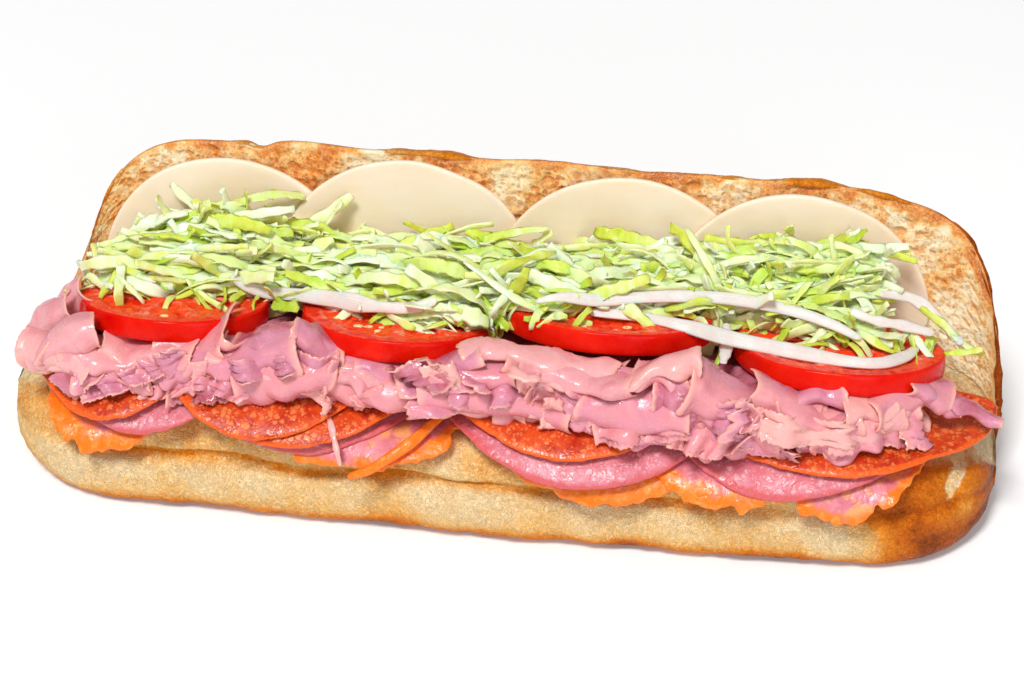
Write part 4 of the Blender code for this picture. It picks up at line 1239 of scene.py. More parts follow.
def lettuce_top(x, share):
    """The heap's surface from its front foot, at share 0, over to the cheese, at share 1."""
    front = np.interp(x, LETTUCE_FRONTS[:, 0], LETTUCE_FRONTS[:, 1])
    top = np.interp(x, LETTUCE_TOPS[:, 0], LETTUCE_TOPS[:, 1])
    low = tomato_level(x, front)
    ends = end_fall((x - 1.0) / 139.0, 7.0, 0.3)
    rise = np.interp(share, (0.0, 0.16, 0.5, 0.85, 1.0), (0.0, 0.62, 0.86, 0.98, 1.0))
    deep = 25.6 - front
    y = front - 1.2 * np.sin(np.clip(share * 5.0, 0.0, 1.0) * math.pi) + deep * share
    slope = (low + 6.6) + (top - low - 6.6) * smooth_step(0.05, 0.9, share)
    z = low + (slope - low) * np.maximum(rise, smooth_step(0.0, 0.16, share)) * ends
    return np.stack(np.broadcast_arrays(x, y, z), axis=-1)


def lettuce_core(rows, columns):
    """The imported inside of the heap, two to three millimetres within its surface."""
    x = np.linspace(-126.0, 114.0, rows)[:, None]
    share = np.linspace(0.02, 1.0, columns)[None, :]
    top = lettuce_top(x, share)
    top[..., 1] += 2.2 * (1.0 - share)
    top[..., 2] -= 2.7 * smooth_step(0.0, 0.3, share + 0.08)
    under = top[:, ::-1].copy()
    under[..., 2] = np.minimum(tomato_level(under[..., 0], under[..., 1]) + 0.4, under[..., 2] - 0.5)
    rings = np.concatenate([top, under], axis=1)
    rings = rings + 0.5 * drift(rings, 7.0, 501, 2)[..., None] * np.array((0.0, 0.3, 1.0))
    tone = 0.3 + 0.2 * drift(rings, 9.0, 502)[..., None]
    return np.concatenate([rings, tone, 0.0 * tone], axis=-1)


def shreds(middles, travel, facing, long, wide, curve, wind, leaf, rows, seed, cup=0.3):
    """Cut strips of leaf. Each follows a path whose heading turns steadily by `curve` and
    swings a little, winds round its own length by `wind`, narrows to its ends and is cupped.
    Its section has six points: two edges, and two on either face."""
    rng = np.random.default_rng(seed)
    count = len(middles)
    s = np.linspace(0.0, 1.0, rows)[None, :]
    phase = rng.uniform(0.0, PHASES, (count, 1))
    swings = rng.uniform(0.6, 1.6, (count, 1))
    heading = curve[:, None] * (s - 0.5) + 0.45 * np.sin(WHOLE_TURN * s * swings + phase)
    length = long[:, None] / (rows - 1)
    run, rise = np.cumsum(np.cos(heading), axis=1) * length, np.cumsum(np.sin(heading), axis=1) * length
    run, rise = run - run.mean(axis=1, keepdims=True), rise - rise.mean(axis=1, keepdims=True)
    path = middles[:, None] + run[..., None] * travel[:, None] + rise[..., None] * facing[:, None]
    along = unit(np.gradient(path, axis=1))
    across = unit(np.cross(travel, facing))[:, None]
    flat = unit(np.cross(across, along))
    side = np.cross(along, flat)
    turn = (rng.normal(0.0, 0.5, (count, 1)) + wind[:, None] * (s - 0.5))[..., None]
    edge_way = side * np.cos(turn) + flat * np.sin(turn)
    face_way = np.cross(along, edge_way)
    narrow = np.sin(np.clip(s, 0.03, 0.97) * math.pi) ** 0.16
    waves = rng.uniform(4.5, 10.0, (3, count, 1))
    beats = WHOLE_TURN * s * long[:, None] / waves + phase * np.array((1.0, 2.0, 3.0))[:, None, None]
    uneven = 1.0 + 0.16 * np.sin(beats[2]) + 0.03 * rng.normal(size=(count, rows))
    width = 0.5 * wide[:, None] * narrow * uneven
    width = np.maximum(width, 0.1)
    dip = cup * width * rng.uniform(-1.0, 1.0, (count, 1))
    crinkle = 0.3 * width * (0.3 + leaf[:, None]) * np.sin(beats[:2])
    thick = 0.1 + 0.32 * (1.0 - leaf[:, None]) ** 2 + 0.0 * width
    section = (
        (-1.0, dip + crinkle[0]), (-0.7, 0.4 * dip + thick), (0.7, 0.4 * dip + thick),
        (1.0, dip + crinkle[1]), (0.7, 0.4 * dip - thick), (-0.7, 0.4 * dip - thick),
    )
    lines = [path + edge_way * (b * width)[..., None] + face_way * up[..., None] for b, up in section]
    rings = np.stack(lines, axis=2)
    tone = leaf[:, None] + 0.9 * (s - 0.5) * rng.uniform(-1.0, 1.0, (count, 1))
    tone = tone + 0.07 * rng.normal(size=(count, rows))
    tone = np.clip(np.repeat(tone[:, :, None], 6, axis=2), 0.0, 1.0)
    chance = np.broadcast_to(phase[..., None] / PHASES, tone.shape)
    return np.concatenate([rings, tone[..., None], chance[..., None]], axis=-1)


def heaped_shreds(count, long, wide, lift, seed, leafy, rows=17, spread=0.4):
    """Strips laid on and just inside the heap's surface, mostly along the roll."""
    rng = np.random.default_rng(seed)
    longs = rng.uniform(*long, count)
    x = rng.uniform(-132.0 + 0.4 * longs, 119.0 - 0.4 * longs)
    share = rng.uniform(0.0, 1.0, count) ** 0.8
    middles = lettuce_top(x, share)
    lean = rng.normal(0.0, spread, count)
    back, ahead = lettuce_top(x, share + 0.05), lettuce_top(x + 3.0, share)
    here = lettuce_top(x, share - 0.05)
    climb = np.clip((back - here)[:, 2] / (back - here)[:, 1], 0.0, 1.4)
    level = 0.8 * np.sin(lean) * climb + np.cos(lean) * (ahead - middles)[:, 2] / 3.0
    travel = unit(np.stack([np.cos(lean), np.sin(lean) * 0.8, level + rng.normal(0.0, 0.08, count)], axis=-1))
    out = rng.normal(size=(count, 3)) * 0.3 + np.array((0.0, -0.6, 1.0))
    facing = square_to(travel, out)
    middles[:, 1] = np.minimum(middles[:, 1], 22.0)
    middles[:, 2] += rng.uniform(lift[0], lift[1], count)
    wides = rng.uniform(*wide, count)
    curve, wind = rng.normal(0.0, 1.5, count), rng.normal(0.0, 1.2, count)
    leaf = np.clip(rng.beta(1.2, 1.9, count) * leafy[1] + leafy[0], 0.0, 1.0)
    return shreds(middles, travel, facing, longs, wides, curve, wind, leaf, rows, seed)


# The shreds that lie over the others: middle, heading in plan and climb (degrees), length,
# width, how green (0 rib to 1 leaf), and how far each one bends and winds (radians)
LEADING_SHREDS = (
    (-115.7, -9.0, 62.7, -80.0, -32.0, 18.0, 3.4, 0.35, -0.8, 0.5),
    (-107.0, -3.0, 59.0, 20.0, -8.0, 9.0, 4.5, 0.45, 0.8, 0.6),
    (-66.0, 10.0, 65.4, 22.0, 20.0, 30.0, 4.4, 0.3, 0.5, 0.7),
    (-20.0, -10.0, 66.5, 5.0, -4.0, 17.0, 7.5, 0.06, 0.7, 0.3),
    (-9.0, -10.5, 66.0, -12.0, -8.0, 15.0, 6.5, 0.12, -0.8, 0.5),
    (110.0, 24.0, 75.4, 2.0, 10.0, 20.0, 4.6, 0.0, -0.4, 0.5),
    (80.0, 26.0, 77.5, 0.0, 15.0, 24.0, 3.0, 0.5, 4.2, 0.4),
    (100.6, 25.0, 77.7, 10.0, 40.0, 15.0, 3.4, 0.7, -0.6, 0.9),
    (35.8, 24.0, 73.6, 4.0, -12.0, 24.0, 4.4, 0.62, 0.6, 0.6),
    (-18.0, 12.0, 67.0, -6.0, -4.0, 34.0, 3.8, 0.12, 0.5, 0.4),
    (-123.0, 18.0, 62.0, 10.0, 20.0, 16.0, 2.4, 0.3, 1.6, 0.8),
    (-127.0, 8.0, 60.0, -60.0, -30.0, 16.0, 2.3, 0.35, -1.2, 0.6),
    (130.7, 6.0, 63.6, -25.0, -30.0, 20.0, 2.5, 0.4, -0.7, 0.5),
    (136.7, 4.0, 60.2, -15.0, -28.0, 16.0, 2.6, 0.25, 0.6, 0.5),
    (137.0, 0.0, 59.6, 5.0, 10.0, 12.0, 2.0, 0.62, 0.5, 0.3),
    (-65.6, -5.0, 59.0, -10.0, -6.0, 9.0, 5.0, 1.0, 0.6, 0.8),
)


def leading_shreds(seed):
    """The shreds of LEADING_SHREDS, which face up and to the front."""
    table = np.array(LEADING_SHREDS)
    lean, climb = np.radians(table[:, 3]), np.radians(table[:, 4])
    travel = np.stack([np.cos(lean) * np.cos(climb), np.sin(lean) * np.cos(climb), np.sin(climb)], axis=-1)
    facing = square_to(travel, np.array((0.0, -0.7, 0.9)))
    long, wide, leaf, curve, wind = table[:, 5:].T
    return shreds(table[:, :3], travel, facing, long, wide, curve, wind, leaf, 26, seed)


def hanging_shreds(count, seed):
    """Strips at the heap's front foot that lie over the tomatoes and hang past their edge."""
    rng = np.random.default_rng(seed)
    x = rng.uniform(-132.0, 128.0, count)
    middles = lettuce_top(x, rng.uniform(0.0, 0.1, count))
    middles[:, 1] -= rng.uniform(0.0, 5.0, count)
    middles[:, 2] += rng.uniform(-0.6, 2.0, count)
    lean = rng.normal(0.0, 0.9, count)
    drop = -0.1 + rng.normal(0.0, 0.25, count)
    travel = unit(np.stack([np.sin(lean), -np.cos(lean) * 0.75, drop], axis=-1))
    out = rng.normal(size=(count, 3)) * 0.35 + np.array((0.0, -0.3, 1.0))
    facing = square_to(travel, out)
    longs, wides = rng.uniform(9.0, 22.0, count), rng.uniform(1.3, 3.0, count)
    curve, wind = -np.abs(rng.normal(0.0, 1.0, count)), rng.normal(0.0, 1.4, count)
    leaf = np.clip(rng.beta(1.3, 1.5, count), 0.0, 1.0)
    return shreds(middles, travel, facing, longs, wides, curve, wind, leaf, 12, seed)


def lettuce_material(settings):
    material, nodes, shader = new_material(
        "shredded lettuce", Subsurface_Weight=0.45, Subsurface_Scale=0.004, Specular_IOR_Level=0.3
    )
    moist = nodes.group(moist_group(), Size=2.0, Dry=0.45, Wet=0.22)
    tone = nodes.attribute("leaf")
    patch = nodes.noise(3.0, 3.0)
    level = nodes.maths("ADD", tone, nodes.swing(patch, 0.5), clamp=True)
    colour = nodes.ramp(
        level, (0.0, settings.rib), (0.3, settings.pale), (0.62, settings.leaf), (0.97, settings.deep)
    )
    nodes.dress(shader, colour, moist["Roughness"], nodes.noise(0.9, 2.0), 0.12)
    return material


# ---------------------------------------------------------------- onion strips

# Width, the way the flat side faces, and where the middle of the strip passes
ONIONS = (
    (4.2, (0.0, -0.75, 0.66), (
        (-82.8, -1.2, 65.6), (-78.0, -1.4, 62.4), (-71.5, -0.6, 60.2), (-62.0, -1.9, 61.3),
        (-49.0, -4.6, 62.8), (-35.8, -9.4, 65.2), (-25.3, -9.6, 66.3), (-18.7, -8.0, 68.6),
    )),
    (3.6, (0.0, -0.6, 0.8), (
        (11.1, -10.2, 72.8), (18.5, -8.4, 73.8), (28.9, -4.8, 71.2), (41.0, -2.0, 71.3), (55.6, 0.8, 71.2),
        (70.4, 2.0, 70.4), (85.3, 1.9, 68.3), (97.3, -1.2, 67.0), (106.6, -5.0, 65.1),
    )),
    (4.2, (0.0, -0.5, 0.86), (
        (26.5, -6.0, 67.3), (34.0, -5.4, 67.1), (42.5, -5.8, 67.1), (55.7, -9.6, 67.9), (70.5, -9.1, 64.2),
        (88.3, -13.3, 64.9), (102.3, -17.3, 66.2), (112.3, -16.5, 65.9), (119.6, -9.2, 63.5),
        (122.4, -3.4, 61.8), (123.2, -0.6, 61.2),
    )),
    (3.3, (0.0, 0.1, 1.0), ((67.0, 0.0, 62.9), (67.6, -8.0, 60.6), (67.2, -16.0, 60.2))),
    (3.2, (0.0, -0.6, 0.8), (
        (111.2, 9.4, 71.4), (119.3, 12.2, 69.2), (125.5, 11.4, 66.4), (131.1, 6.9, 63.5), (136.4, 3.0, 60.2),
    )),
    (3.0, (0.0, -0.6, 0.8), ((103.0, 2.4, 69.6), (110.0, 0.7, 68.2), (118.6, 1.0, 66.9), (128.0, 2.4, 63.8))),
)


def onion_strip(number, width, facing, points, thick=0.9):
    """A strip of onion: a crescent section of twelve points swept along its path, narrower
    towards its blunt ends."""
    path = path_through(points, 90)
    along = unit(np.gradient(path, axis=0))
    side = unit(np.cross(along, np.array(facing, float)))
    flat = np.cross(side, along)
    s = np.linspace(0.0, 1.0, len(path))
    narrow = np.maximum(np.sin(s * math.pi), 0.0) ** 0.22
    narrow[0] = narrow[-1] = 0.25
    broad = 1.0 + 0.12 * drift(s[:, None], 0.5, 600 + number)
    angle = np.linspace(0.0, 2.0 * math.pi, 13)[:-1][None, :]
    across = 0.56 * width * (narrow * broad)[:, None] * np.cos(angle)
    sine = np.sin(angle)
    deep = 0.5 * thick * np.minimum(narrow, 0.9)[:, None] * np.sign(sine) * np.abs(sine) ** 0.7
    deep = deep - 0.3 * (np.cos(angle) ** 2) * narrow[:, None]
    rings = path[:, None] + across[..., None] * side[:, None] + deep[..., None] * flat[:, None]
    place = np.broadcast_to(np.cos(angle), across.shape)
    length = np.broadcast_to(s[:, None] * 0.2 * len(points), across.shape)
    return np.concatenate([rings, place[..., None], length[..., None]], axis=-1)


def onion_material(settings):
    material, nodes, shader = new_material(
        "raw onion", Subsurface_Weight=0.5, Subsurface_Scale=0.004, Specular_IOR_Level=0.3
    )
    across, along = nodes.attribute("across"), nodes.attribute("along")
    place = nodes.add("ShaderNodeCombineXYZ")
    nodes.put(place.inputs[0], nodes.maths("MULTIPLY", across, 5.0))
    nodes.put(place.inputs[1], along)
    lines = nodes.lumps(place.outputs["Vector"], 1.6, 4.0)["Fac"]
    cloud = nodes.maths("MULTIPLY", nodes.noise(4.0, 3.0), 0.4)
    level = nodes.maths("ADD", nodes.maths("MULTIPLY", lines, 0.6), cloud)
    colour = nodes.ramp(level, (0.35, settings.onion_shade), (0.62, settings.onion))
    moist = nodes.group(moist_group(), Size=2.4, Dry=0.32, Wet=0.14)
    nodes.dress(shader, colour, moist["Roughness"], lines, 0.12)
    return material


# Where the torn strip of fat and the sliver of ham run over the cold cuts, as on_sheet reads it
FAT_STRIP = ((-13.0, 3.0), (-17.0, -2.0), (-22.0, -6.5), (-28.0, -10.0), (-34.0, -12.8), (-40.0, -14.6))
HAM_SLIVER = ((-50.0, -1.0), (-46.5, -5.0), (-44.0, -9.0), (-42.0, -12.5))


def strip_on_cuts(number, width, height, places, thick):
    """An onion_strip's shape laid on the cold cuts' sheet through places (u, v)."""
    u, v = np.array(places).T
    return onion_strip(number, width, (0.0, -0.8, 0.6), on_sheet(u, v, height), thick)


# ---------------------------------------------------------------- sizes and colours


def shade(name, value, description):
    """A colour that the user may change."""
    return bpy.props.FloatVectorProperty(
        name=name, description=description, default=value, subtype="COLOR", size=3, min=0.0, max=1.0
    )


def number(name, value, description):
    """A count that the user may change."""
    return bpy.props.IntProperty(name=name, description=description, default=value, min=4, soft_max=1000)


def amount(name, value, description, **more):
    """A size, strength or angle that the user may change."""
    return bpy.props.FloatProperty(name=name, description=description, default=value, **more)

class RollSettings(bpy.types.PropertyGroup):
    """How finely the roll is drawn, and its bakes from pale to dark."""

    stations: number("Stations", 330, "Rings along the crust")
    face_rows: number("Face rows", 620, "Places along the toasted face")
    face_columns: number("Face columns", 126, "Places up the toasted face")
    pale: shade("Pale", (0.96, 0.71, 0.38), "Least baked crust")
    golden: shade("Golden", (0.94, 0.52, 0.14), "Golden crust")
    amber: shade("Amber", (0.86, 0.26, 0.011), "Well baked crust")
    brown: shade("Brown", (0.62, 0.13, 0.003), "Brown crust")
    dark: shade("Dark", (0.26, 0.04, 0.003), "Darkest crust")
    # Painted shade inside the pores of the toasted face
    pore_shade: shade("Hollow", (0.84, 0.4, 0.09), "Inside of the pores")
    crumb: shade("Crumb", (1.0, 0.88, 0.6), "Untoasted crumb of the cut face")
    toasted: shade("Toasted", (0.97, 0.58, 0.19), "Golden crumb of the cut face")
    cream: shade("Cream", (0.98, 0.8, 0.5), "Inside of the roll")


class ColdCutSettings(bpy.types.PropertyGroup):
    """Colours of the pepperoni, salami and capicola."""

    pepperoni: shade("Pepperoni", (0.5, 0.026, 0.004), "Deep tone of the pepperoni")
    pepperoni_light: shade("Pepperoni light", (0.72, 0.08, 0.01), "Light tone of the pepperoni")
    pepperoni_fat: shade("Pepperoni fat", (0.88, 0.24, 0.06), "Specks in the pepperoni")
    pepperoni_rim: shade("Pepperoni rim", (0.86, 0.12, 0.008), "Rim of the pepperoni")
    salami: shade("Salami", (0.64, 0.15, 0.19), "Deep tone of the salami")
    salami_light: shade("Salami light", (0.68, 0.24, 0.3), "Light tone of the salami")
    salami_fat: shade("Salami fat", (0.88, 0.44, 0.46), "Specks in the salami")
    salami_rim: shade("Salami rim", (0.66, 0.12, 0.13), "Rim of the salami")
    capicola: shade("Capicola", (0.62, 0.15, 0.2), "Deep tone of the capicola")
    capicola_light: shade("Capicola light", (0.78, 0.27, 0.31), "Light tone of the capicola")
    capicola_fat: shade("Capicola fat", (0.95, 0.42, 0.1), "Fat of the capicola")
    capicola_rim: shade("Capicola rim", (0.98, 0.19, 0.005), "Spiced rim of the capicola")


class HamSettings(bpy.types.PropertyGroup):
    """Thickness and colours of the shaved ham."""

    thickness: amount("Thickness", 0.0007, "Thickness of a shaving", unit="LENGTH", min=0.0002)
    # Rose is the ham's dark tone and also its painted shade in creases and on the heap's inside
    rose_and_crease_shade: shade("Rose", (0.42, 0.065, 0.085), "Dark tone of the ham")
    lavender: shade("Lavender", (0.68, 0.26, 0.36), "Cooler tone of the ham")
    pink: shade("Pink", (0.78, 0.285, 0.315), "Main tone of the ham")
    pale: shade("Pale", (0.87, 0.42, 0.43), "Light tone of the ham")
    edge: shade("Edge", (0.93, 0.45, 0.37), "Cut edge of a shaving")


class TomatoSettings(bpy.types.PropertyGroup):
    """Colours of the tomato slices."""

    skin: shade("Skin", (0.68, 0.002, 0.001), "Red skin")
    skin_light: shade("Skin light", (0.84, 0.018, 0.003), "Lighter flecks of the skin")
    flesh: shade("Flesh", (0.98, 0.06, 0.014), "Flesh")
    pale_flesh: shade("Pale flesh", (0.98, 0.34, 0.22), "Pale streaks of the flesh")
    gel: shade("Gel", (0.98, 0.13, 0.015), "Jelly of the seed chambers")
    seed: shade("Seed", (0.95, 0.72, 0.34), "Seeds")


class GreensSettings(bpy.types.PropertyGroup):
    """Colours of the lettuce and the onion, and the number of shreds."""

    shreds: number("Shreds", 400, "Shreds of lettuce on the heap")
    rib: shade("Rib", (0.94, 0.93, 0.68), "White ribs")
    pale: shade("Pale leaf", (0.88, 0.9, 0.42), "Pale leaf")
    leaf: shade("Leaf", (0.73, 0.8, 0.12), "Green leaf")
    deep: shade("Deep leaf", (0.5, 0.63, 0.05), "Darkest leaf")
    onion: shade("Onion", (0.9, 0.8, 0.76), "Raw onion")
    onion_shade: shade("Onion shade", (0.84, 0.64, 0.58), "Veins of the onion")


class CheeseSettings(bpy.types.PropertyGroup):
    """Colours of the cheese."""

    colour: shade("Cheese", (0.95, 0.79, 0.63), "Ivory of the cheese")
    shade: shade("Cheese shade", (0.93, 0.74, 0.53), "Darker patches of the cheese")


class StageSettings(bpy.types.PropertyGroup):
    """The floor, the light and the camera."""

    floor: shade("Floor", (0.93, 0.93, 0.93), "Floor")
    glow: amount("Glow", 0.1, "How much the floor glows", min=0.0)
    sky: amount("Sky", 0.3, "Strength of the even light", min=0.0)
    key: amount("Key", 64.0, "Power of the main light", unit="POWER")
    fill: amount("Fill", 2.4, "Power of the front light", unit="POWER")
    lens: amount("Lens", 88.2, "Focal length", unit="CAMERA")
    distance: amount("Distance", 0.76, "To the camera", unit="LENGTH")
    elevation: amount("Elevation", math.radians(38.0), "Camera above the floor", subtype="ANGLE")
    azimuth: amount("Azimuth", math.radians(8.0), "Camera round the roll", subtype="ANGLE")


# ---------------------------------------------------------------- operators


class SANDWICH_OT_roll(bpy.types.Operator):
    """Bakes the roll: the crust of both halves, and the toasted cut face"""

    bl_idname = "sandwich.roll"
    bl_label = "Roll"

    def execute(self, context):
        settings = context.scene.sandwich_roll
        skin = shape_crust(*crust_rings(settings.stations))
        crust = crust_material(settings)
        add_piece("crust", closed_rings(skin), ("baking", "crumb"), crust, ("roll",))
        face = toasted_face(settings.face_rows, settings.face_columns)
        back = np.array((0.0, math.sin(OPENING), -math.cos(OPENING)))
        sides = smooth_step(0.97, 0.993, np.abs(face[..., :1]) / UPPER_RIGHT)
        plate = closed_plate(face, back * (1.2 + 1.7 * sides))
        crumb = crumb_material(settings)
        add_piece("toasted_face", plate, ("toast", "pore", "rim"), crumb, ("roll",))
        return {"FINISHED"}


class SANDWICH_OT_cold_cuts(bpy.types.Operator):
    """Lays the slices of capicola, salami and pepperoni over the roll's lip"""

    bl_idname = "sandwich.cold_cuts"
    bl_label = "Cold cuts"

    def execute(self, context):
        s = context.scene.sandwich_cold_cuts
        kinds = {
            "capicola": meat_material(
                "capicola", (s.capicola, s.capicola_light, s.capicola_fat, s.capicola_rim),
                (9.0, 0.34, 3.5, 0.3), (0.86, 0.97), True,
            ),
            "salami": meat_material(
                "salami", (s.salami, s.salami_light, s.salami_fat, s.salami_rim),
                (2.4, 0.3, 1.1, 0.3), (0.95, 0.985),
            ),
            "pepperoni": meat_material(
                "pepperoni", (s.pepperoni, s.pepperoni_light, s.pepperoni_fat, s.pepperoni_rim),
                (2.3, 0.36, 1.1, 0.34), (0.965, 0.985),
            ),
        }
        for order, (name, *place) in enumerate(COLD_CUTS):
            kind = name.split("_")[0]
            ragged = 0.022 if kind == "capicola" else 0.003
            rings = cold_cut(order, *place, ragged)
            rings[..., 3] += FRINGES.get(name, 0.0)
            add_piece("sliced_" + name, closed_rings(rings), ("share", "tone"), kinds[kind], (name,))
        strip = strip_on_cuts(21, 3.0, 7.0, FAT_STRIP, 1.5)
        strip[..., 3] = 1.2
        add_piece("capicola_strip", closed_rings(strip), ("share", "tone"), kinds["capicola"])
        return {"FINISHED"}


class SANDWICH_OT_ham(bpy.types.Operator):
    """Heaps up the shaved ham: broad drapes, tight ruffles and scraps over a packed inside"""

    bl_idname = "sandwich.ham"
    bl_label = "Shaved ham"

    def execute(self, context):
        settings = context.scene.sandwich_ham
        material = ham_material(settings)
        thick = settings.thickness / MM
        channels = ("tone", "border")
        add_piece("ham_heap", closed_rings(ham_core(150, 60)), channels, material, ("ham",))
        parts = (
            ("ham_folds", ham_folds(packed_folds(), 20, 46, 402)),
            ("ham_drapes", ham_folds(LEADING_FOLDS, 28, 70, 403)),
            ("ham_ruffles", ruffled_ham()), ("ham_scraps", ham_shavings()), ("ham_frills", gathered_frills()),
        )
        for name, grids in parts:
            add_piece(name, thin_sheets(grids, thick), channels, material, ("ham",))
        sliver = strip_on_cuts(22, 1.7, 9.3, HAM_SLIVER, 0.6)
        sliver[..., 3:] = (0.95, 0.6)
        add_piece("ham_sliver", closed_rings(sliver), channels, material, ("ham",))
        return {"FINISHED"}


class SANDWICH_OT_tomatoes(bpy.types.Operator):
    """Lays the four tomato slices, with their seeds"""

    bl_idname = "sandwich.tomatoes"
    bl_label = "Tomatoes"

    def execute(self, context):
        settings = context.scene.sandwich_tomato
        material = tomato_material(settings)
        seeds, nodes, shader = new_material("tomato seed", Coat_Weight=0.6, Coat_Roughness=0.08)
        tint = nodes.ramp(nodes.noise(1.1), (0.3, settings.gel), (0.5, settings.seed))
        nodes.put(shader.inputs["Base Color"], tint)
        channels = ("skin", "chamber", "flesh")
        for order, place in enumerate(TOMATOES, 1):
            slice_ = closed_rings(tomato_slice(*place))
            add_piece(f"tomato_slice_{order}", slice_, channels, material, (f"tomato_{order}",))
            add_piece(f"tomato_seeds_{order}", closed_rings(tomato_seeds(*place)), (), seeds)
        return {"FINISHED"}


class SANDWICH_OT_onions(bpy.types.Operator):
    """Lays the strips of onion over the tomatoes"""

    bl_idname = "sandwich.onions"
    bl_label = "Onions"

    def execute(self, context):
        material = onion_material(context.scene.sandwich_greens)
        for order, place in enumerate(ONIONS, 1):
            strip = closed_rings(onion_strip(order, *place))
            name = f"onion_{order}"
            add_piece(f"onion_strip_{order}", strip, ("across", "along"), material, (name,))
        return {"FINISHED"}


class SANDWICH_OT_lettuce(bpy.types.Operator):
    """Heaps up the shredded lettuce"""

    bl_idname = "sandwich.lettuce"
    bl_label = "Shredded lettuce"

    def execute(self, context):
        settings = context.scene.sandwich_greens
        material = lettuce_material(settings)
        channels = ("leaf", "chance")
        short = heaped_shreds(settings.shreds, (16.0, 44.0), (1.8, 4.2), (-3.0, -0.9), 511, (0.05, 0.9))
        strands = heaped_shreds(190, (26.0, 62.0), (2.2, 5.4), (-1.0, 0.9), 521, (0.0, 0.75), 34, 0.28)
        ribs = heaped_shreds(26, (16.0, 34.0), (2.6, 5.2), (-0.8, 0.5), 531, (0.0, 0.25))
        parts = (
            ("lettuce_heap", lettuce_core(120, 22)), ("lettuce_shreds", short),
            ("lettuce_strands", strands), ("lettuce_ribs", ribs),
            ("lettuce_ends", hanging_shreds(84, 551)), ("lettuce_leaders", leading_shreds(571)),
        )
        for name, rings in parts:
            add_piece(name, closed_rings(rings), channels, material, ("lettuce",))
        return {"FINISHED"}


class SANDWICH_OT_cheese(bpy.types.Operator):
    """Leans the round slices of cheese on the toasted face"""

    bl_idname = "sandwich.cheese"
    bl_label = "Cheese"

    def execute(self, context):
        material = cheese_material(context.scene.sandwich_cheese)
        for order, place in enumerate(CHEESES, 1):
            shape = closed_rings(cheese_slice(order, *place))
            add_piece(f"cheese_round_{order}", shape, (), material, (f"cheese_{order}",))
        return {"FINISHED"}


def area_light(name, place, target, size, power):
    lamp = bpy.data.lights.new(name, "AREA")
    lamp.shape, lamp.size, lamp.energy = "SQUARE", size, power
    holder = bpy.data.objects.new(name, lamp)
    holder.location = place
    holder.rotation_euler = (Vector(target) - Vector(place)).to_track_quat("-Z", "Y").to_euler()
    bpy.context.scene.collection.objects.link(holder)


FLOOR_REACH, FLOOR_LEVEL = 4.0, -0.0002
LAMP_SIZE, SENSOR = 0.6, 36.0
KEY_PLACE, FILL_PLACE = (-0.35, -1.3, 2.48), (0.5, -1.0, 0.5)
LIT_PLACE, SEEN_PLACE = (0.0, 0.0, 0.05), (0.0037, -0.0068, 0.049)

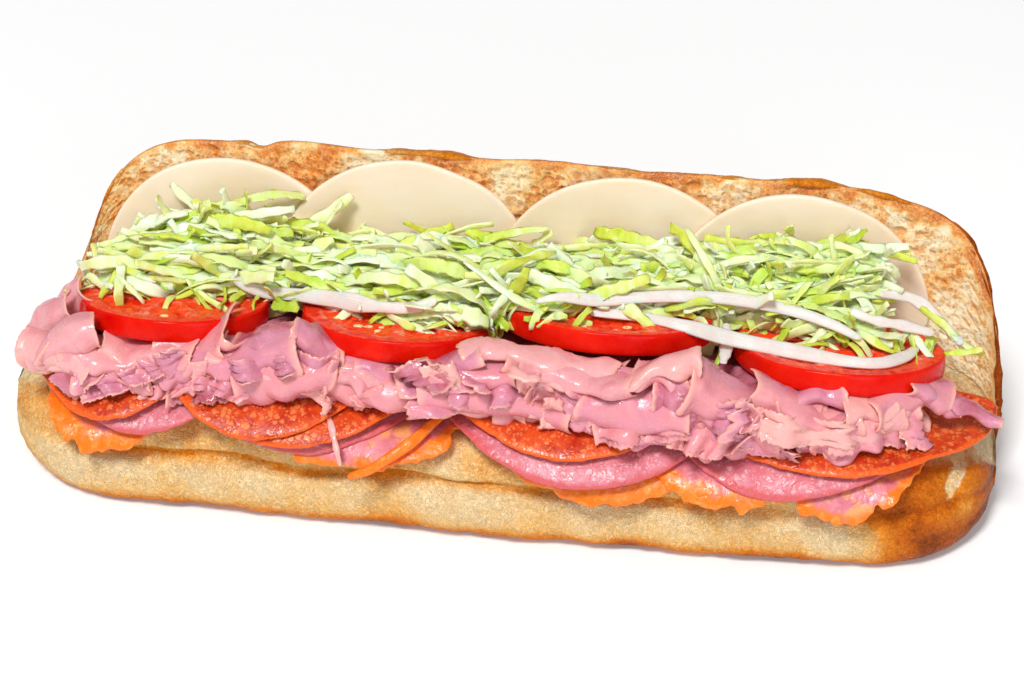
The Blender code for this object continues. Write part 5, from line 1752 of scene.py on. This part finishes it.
class SANDWICH_OT_stage(bpy.types.Operator):
    """Sets the floor, the soft light and the camera"""

    bl_idname = "sandwich.stage"
    bl_label = "Stage"

    def execute(self, context):
        s = context.scene.sandwich_stage
        mesh = bpy.data.meshes.new("floor")
        sides = ((-1.0, -1.0), (1.0, -1.0), (1.0, 1.0), (-1.0, 1.0))
        corners = [(x * FLOOR_REACH, y * FLOOR_REACH, FLOOR_LEVEL) for x, y in sides]
        mesh.from_pydata(corners, [], [(0, 1, 2, 3)])
        floor = bpy.data.objects.new("floor", mesh)
        context.scene.collection.objects.link(floor)
        material, _, shader = new_material("white floor", Roughness=0.9)
        shader.inputs["Base Color"].default_value = (*s.floor, 1.0)
        shader.inputs["Emission Color"].default_value = (1.0, 1.0, 1.0, 1.0)
        shader.inputs["Emission Strength"].default_value = s.glow
        mesh.materials.append(material)
        world = bpy.data.worlds.new("even light")
        world.use_nodes = True
        background = world.node_tree.nodes["Background"]
        background.inputs["Color"].default_value = (1.0, 1.0, 1.0, 1.0)
        background.inputs["Strength"].default_value = s.sky
        context.scene.world = world
        area_light("key", KEY_PLACE, LIT_PLACE, LAMP_SIZE, s.key)
        area_light("fill", FILL_PLACE, LIT_PLACE, LAMP_SIZE, s.fill)
        target = Vector(SEEN_PLACE)
        lens = bpy.data.cameras.new("camera")
        lens.lens, lens.sensor_width = s.lens, SENSOR
        camera = bpy.data.objects.new("camera", lens)
        way = Vector((
            math.sin(s.azimuth) * math.cos(s.elevation), -math.cos(s.azimuth) * math.cos(s.elevation),
            math.sin(s.elevation),
        ))
        camera.location = target + way * s.distance
        camera.rotation_euler = (-way).to_track_quat("-Z", "Y").to_euler()
        context.scene.collection.objects.link(camera)
        context.scene.camera = camera
        context.scene.view_settings.view_transform = "Standard"
        return {"FINISHED"}


class SANDWICH_PT_panel(bpy.types.Panel):
    """The sandwich's pieces, and their sizes and colours"""

    bl_label = "Sandwich"
    bl_space_type = "VIEW_3D"
    bl_region_type = "UI"
    bl_category = "Sandwich"

    def draw(self, context):
        for operator in OPERATORS:
            self.layout.operator(operator.bl_idname)
        for name in SETTINGS:
            box = self.layout.box()
            group = getattr(context.scene, name)
            for key in group.bl_rna.properties.keys():
                if key not in ("rna_type", "name"):
                    box.prop(group, key)


OPERATORS = (
    SANDWICH_OT_roll, SANDWICH_OT_cold_cuts, SANDWICH_OT_ham, SANDWICH_OT_tomatoes, SANDWICH_OT_onions,
    SANDWICH_OT_lettuce, SANDWICH_OT_cheese, SANDWICH_OT_stage,
)
SETTINGS = {
    "sandwich_roll": RollSettings, "sandwich_cold_cuts": ColdCutSettings, "sandwich_ham": HamSettings,
    "sandwich_tomato": TomatoSettings, "sandwich_greens": GreensSettings, "sandwich_cheese": CheeseSettings,
    "sandwich_stage": StageSettings,
}


def register():
    for kind in (*SETTINGS.values(), *OPERATORS, SANDWICH_PT_panel):
        bpy.utils.register_class(kind)
    for name, kind in SETTINGS.items():
        setattr(bpy.types.Scene, name, bpy.props.PointerProperty(type=kind))


def unregister():
    for name in SETTINGS:
        delattr(bpy.types.Scene, name)
    for kind in reversed((*SETTINGS.values(), *OPERATORS, SANDWICH_PT_panel)):
        bpy.utils.unregister_class(kind)


def main():
    register()
    bpy.ops.sandwich.roll()
    bpy.ops.sandwich.cold_cuts()
    bpy.ops.sandwich.ham()
    bpy.ops.sandwich.tomatoes()
    bpy.ops.sandwich.onions()
    bpy.ops.sandwich.lettuce()
    bpy.ops.sandwich.cheese()
    bpy.ops.sandwich.stage()
    bpy.context.view_layer.update()


if __name__ == "__main__":
    main()
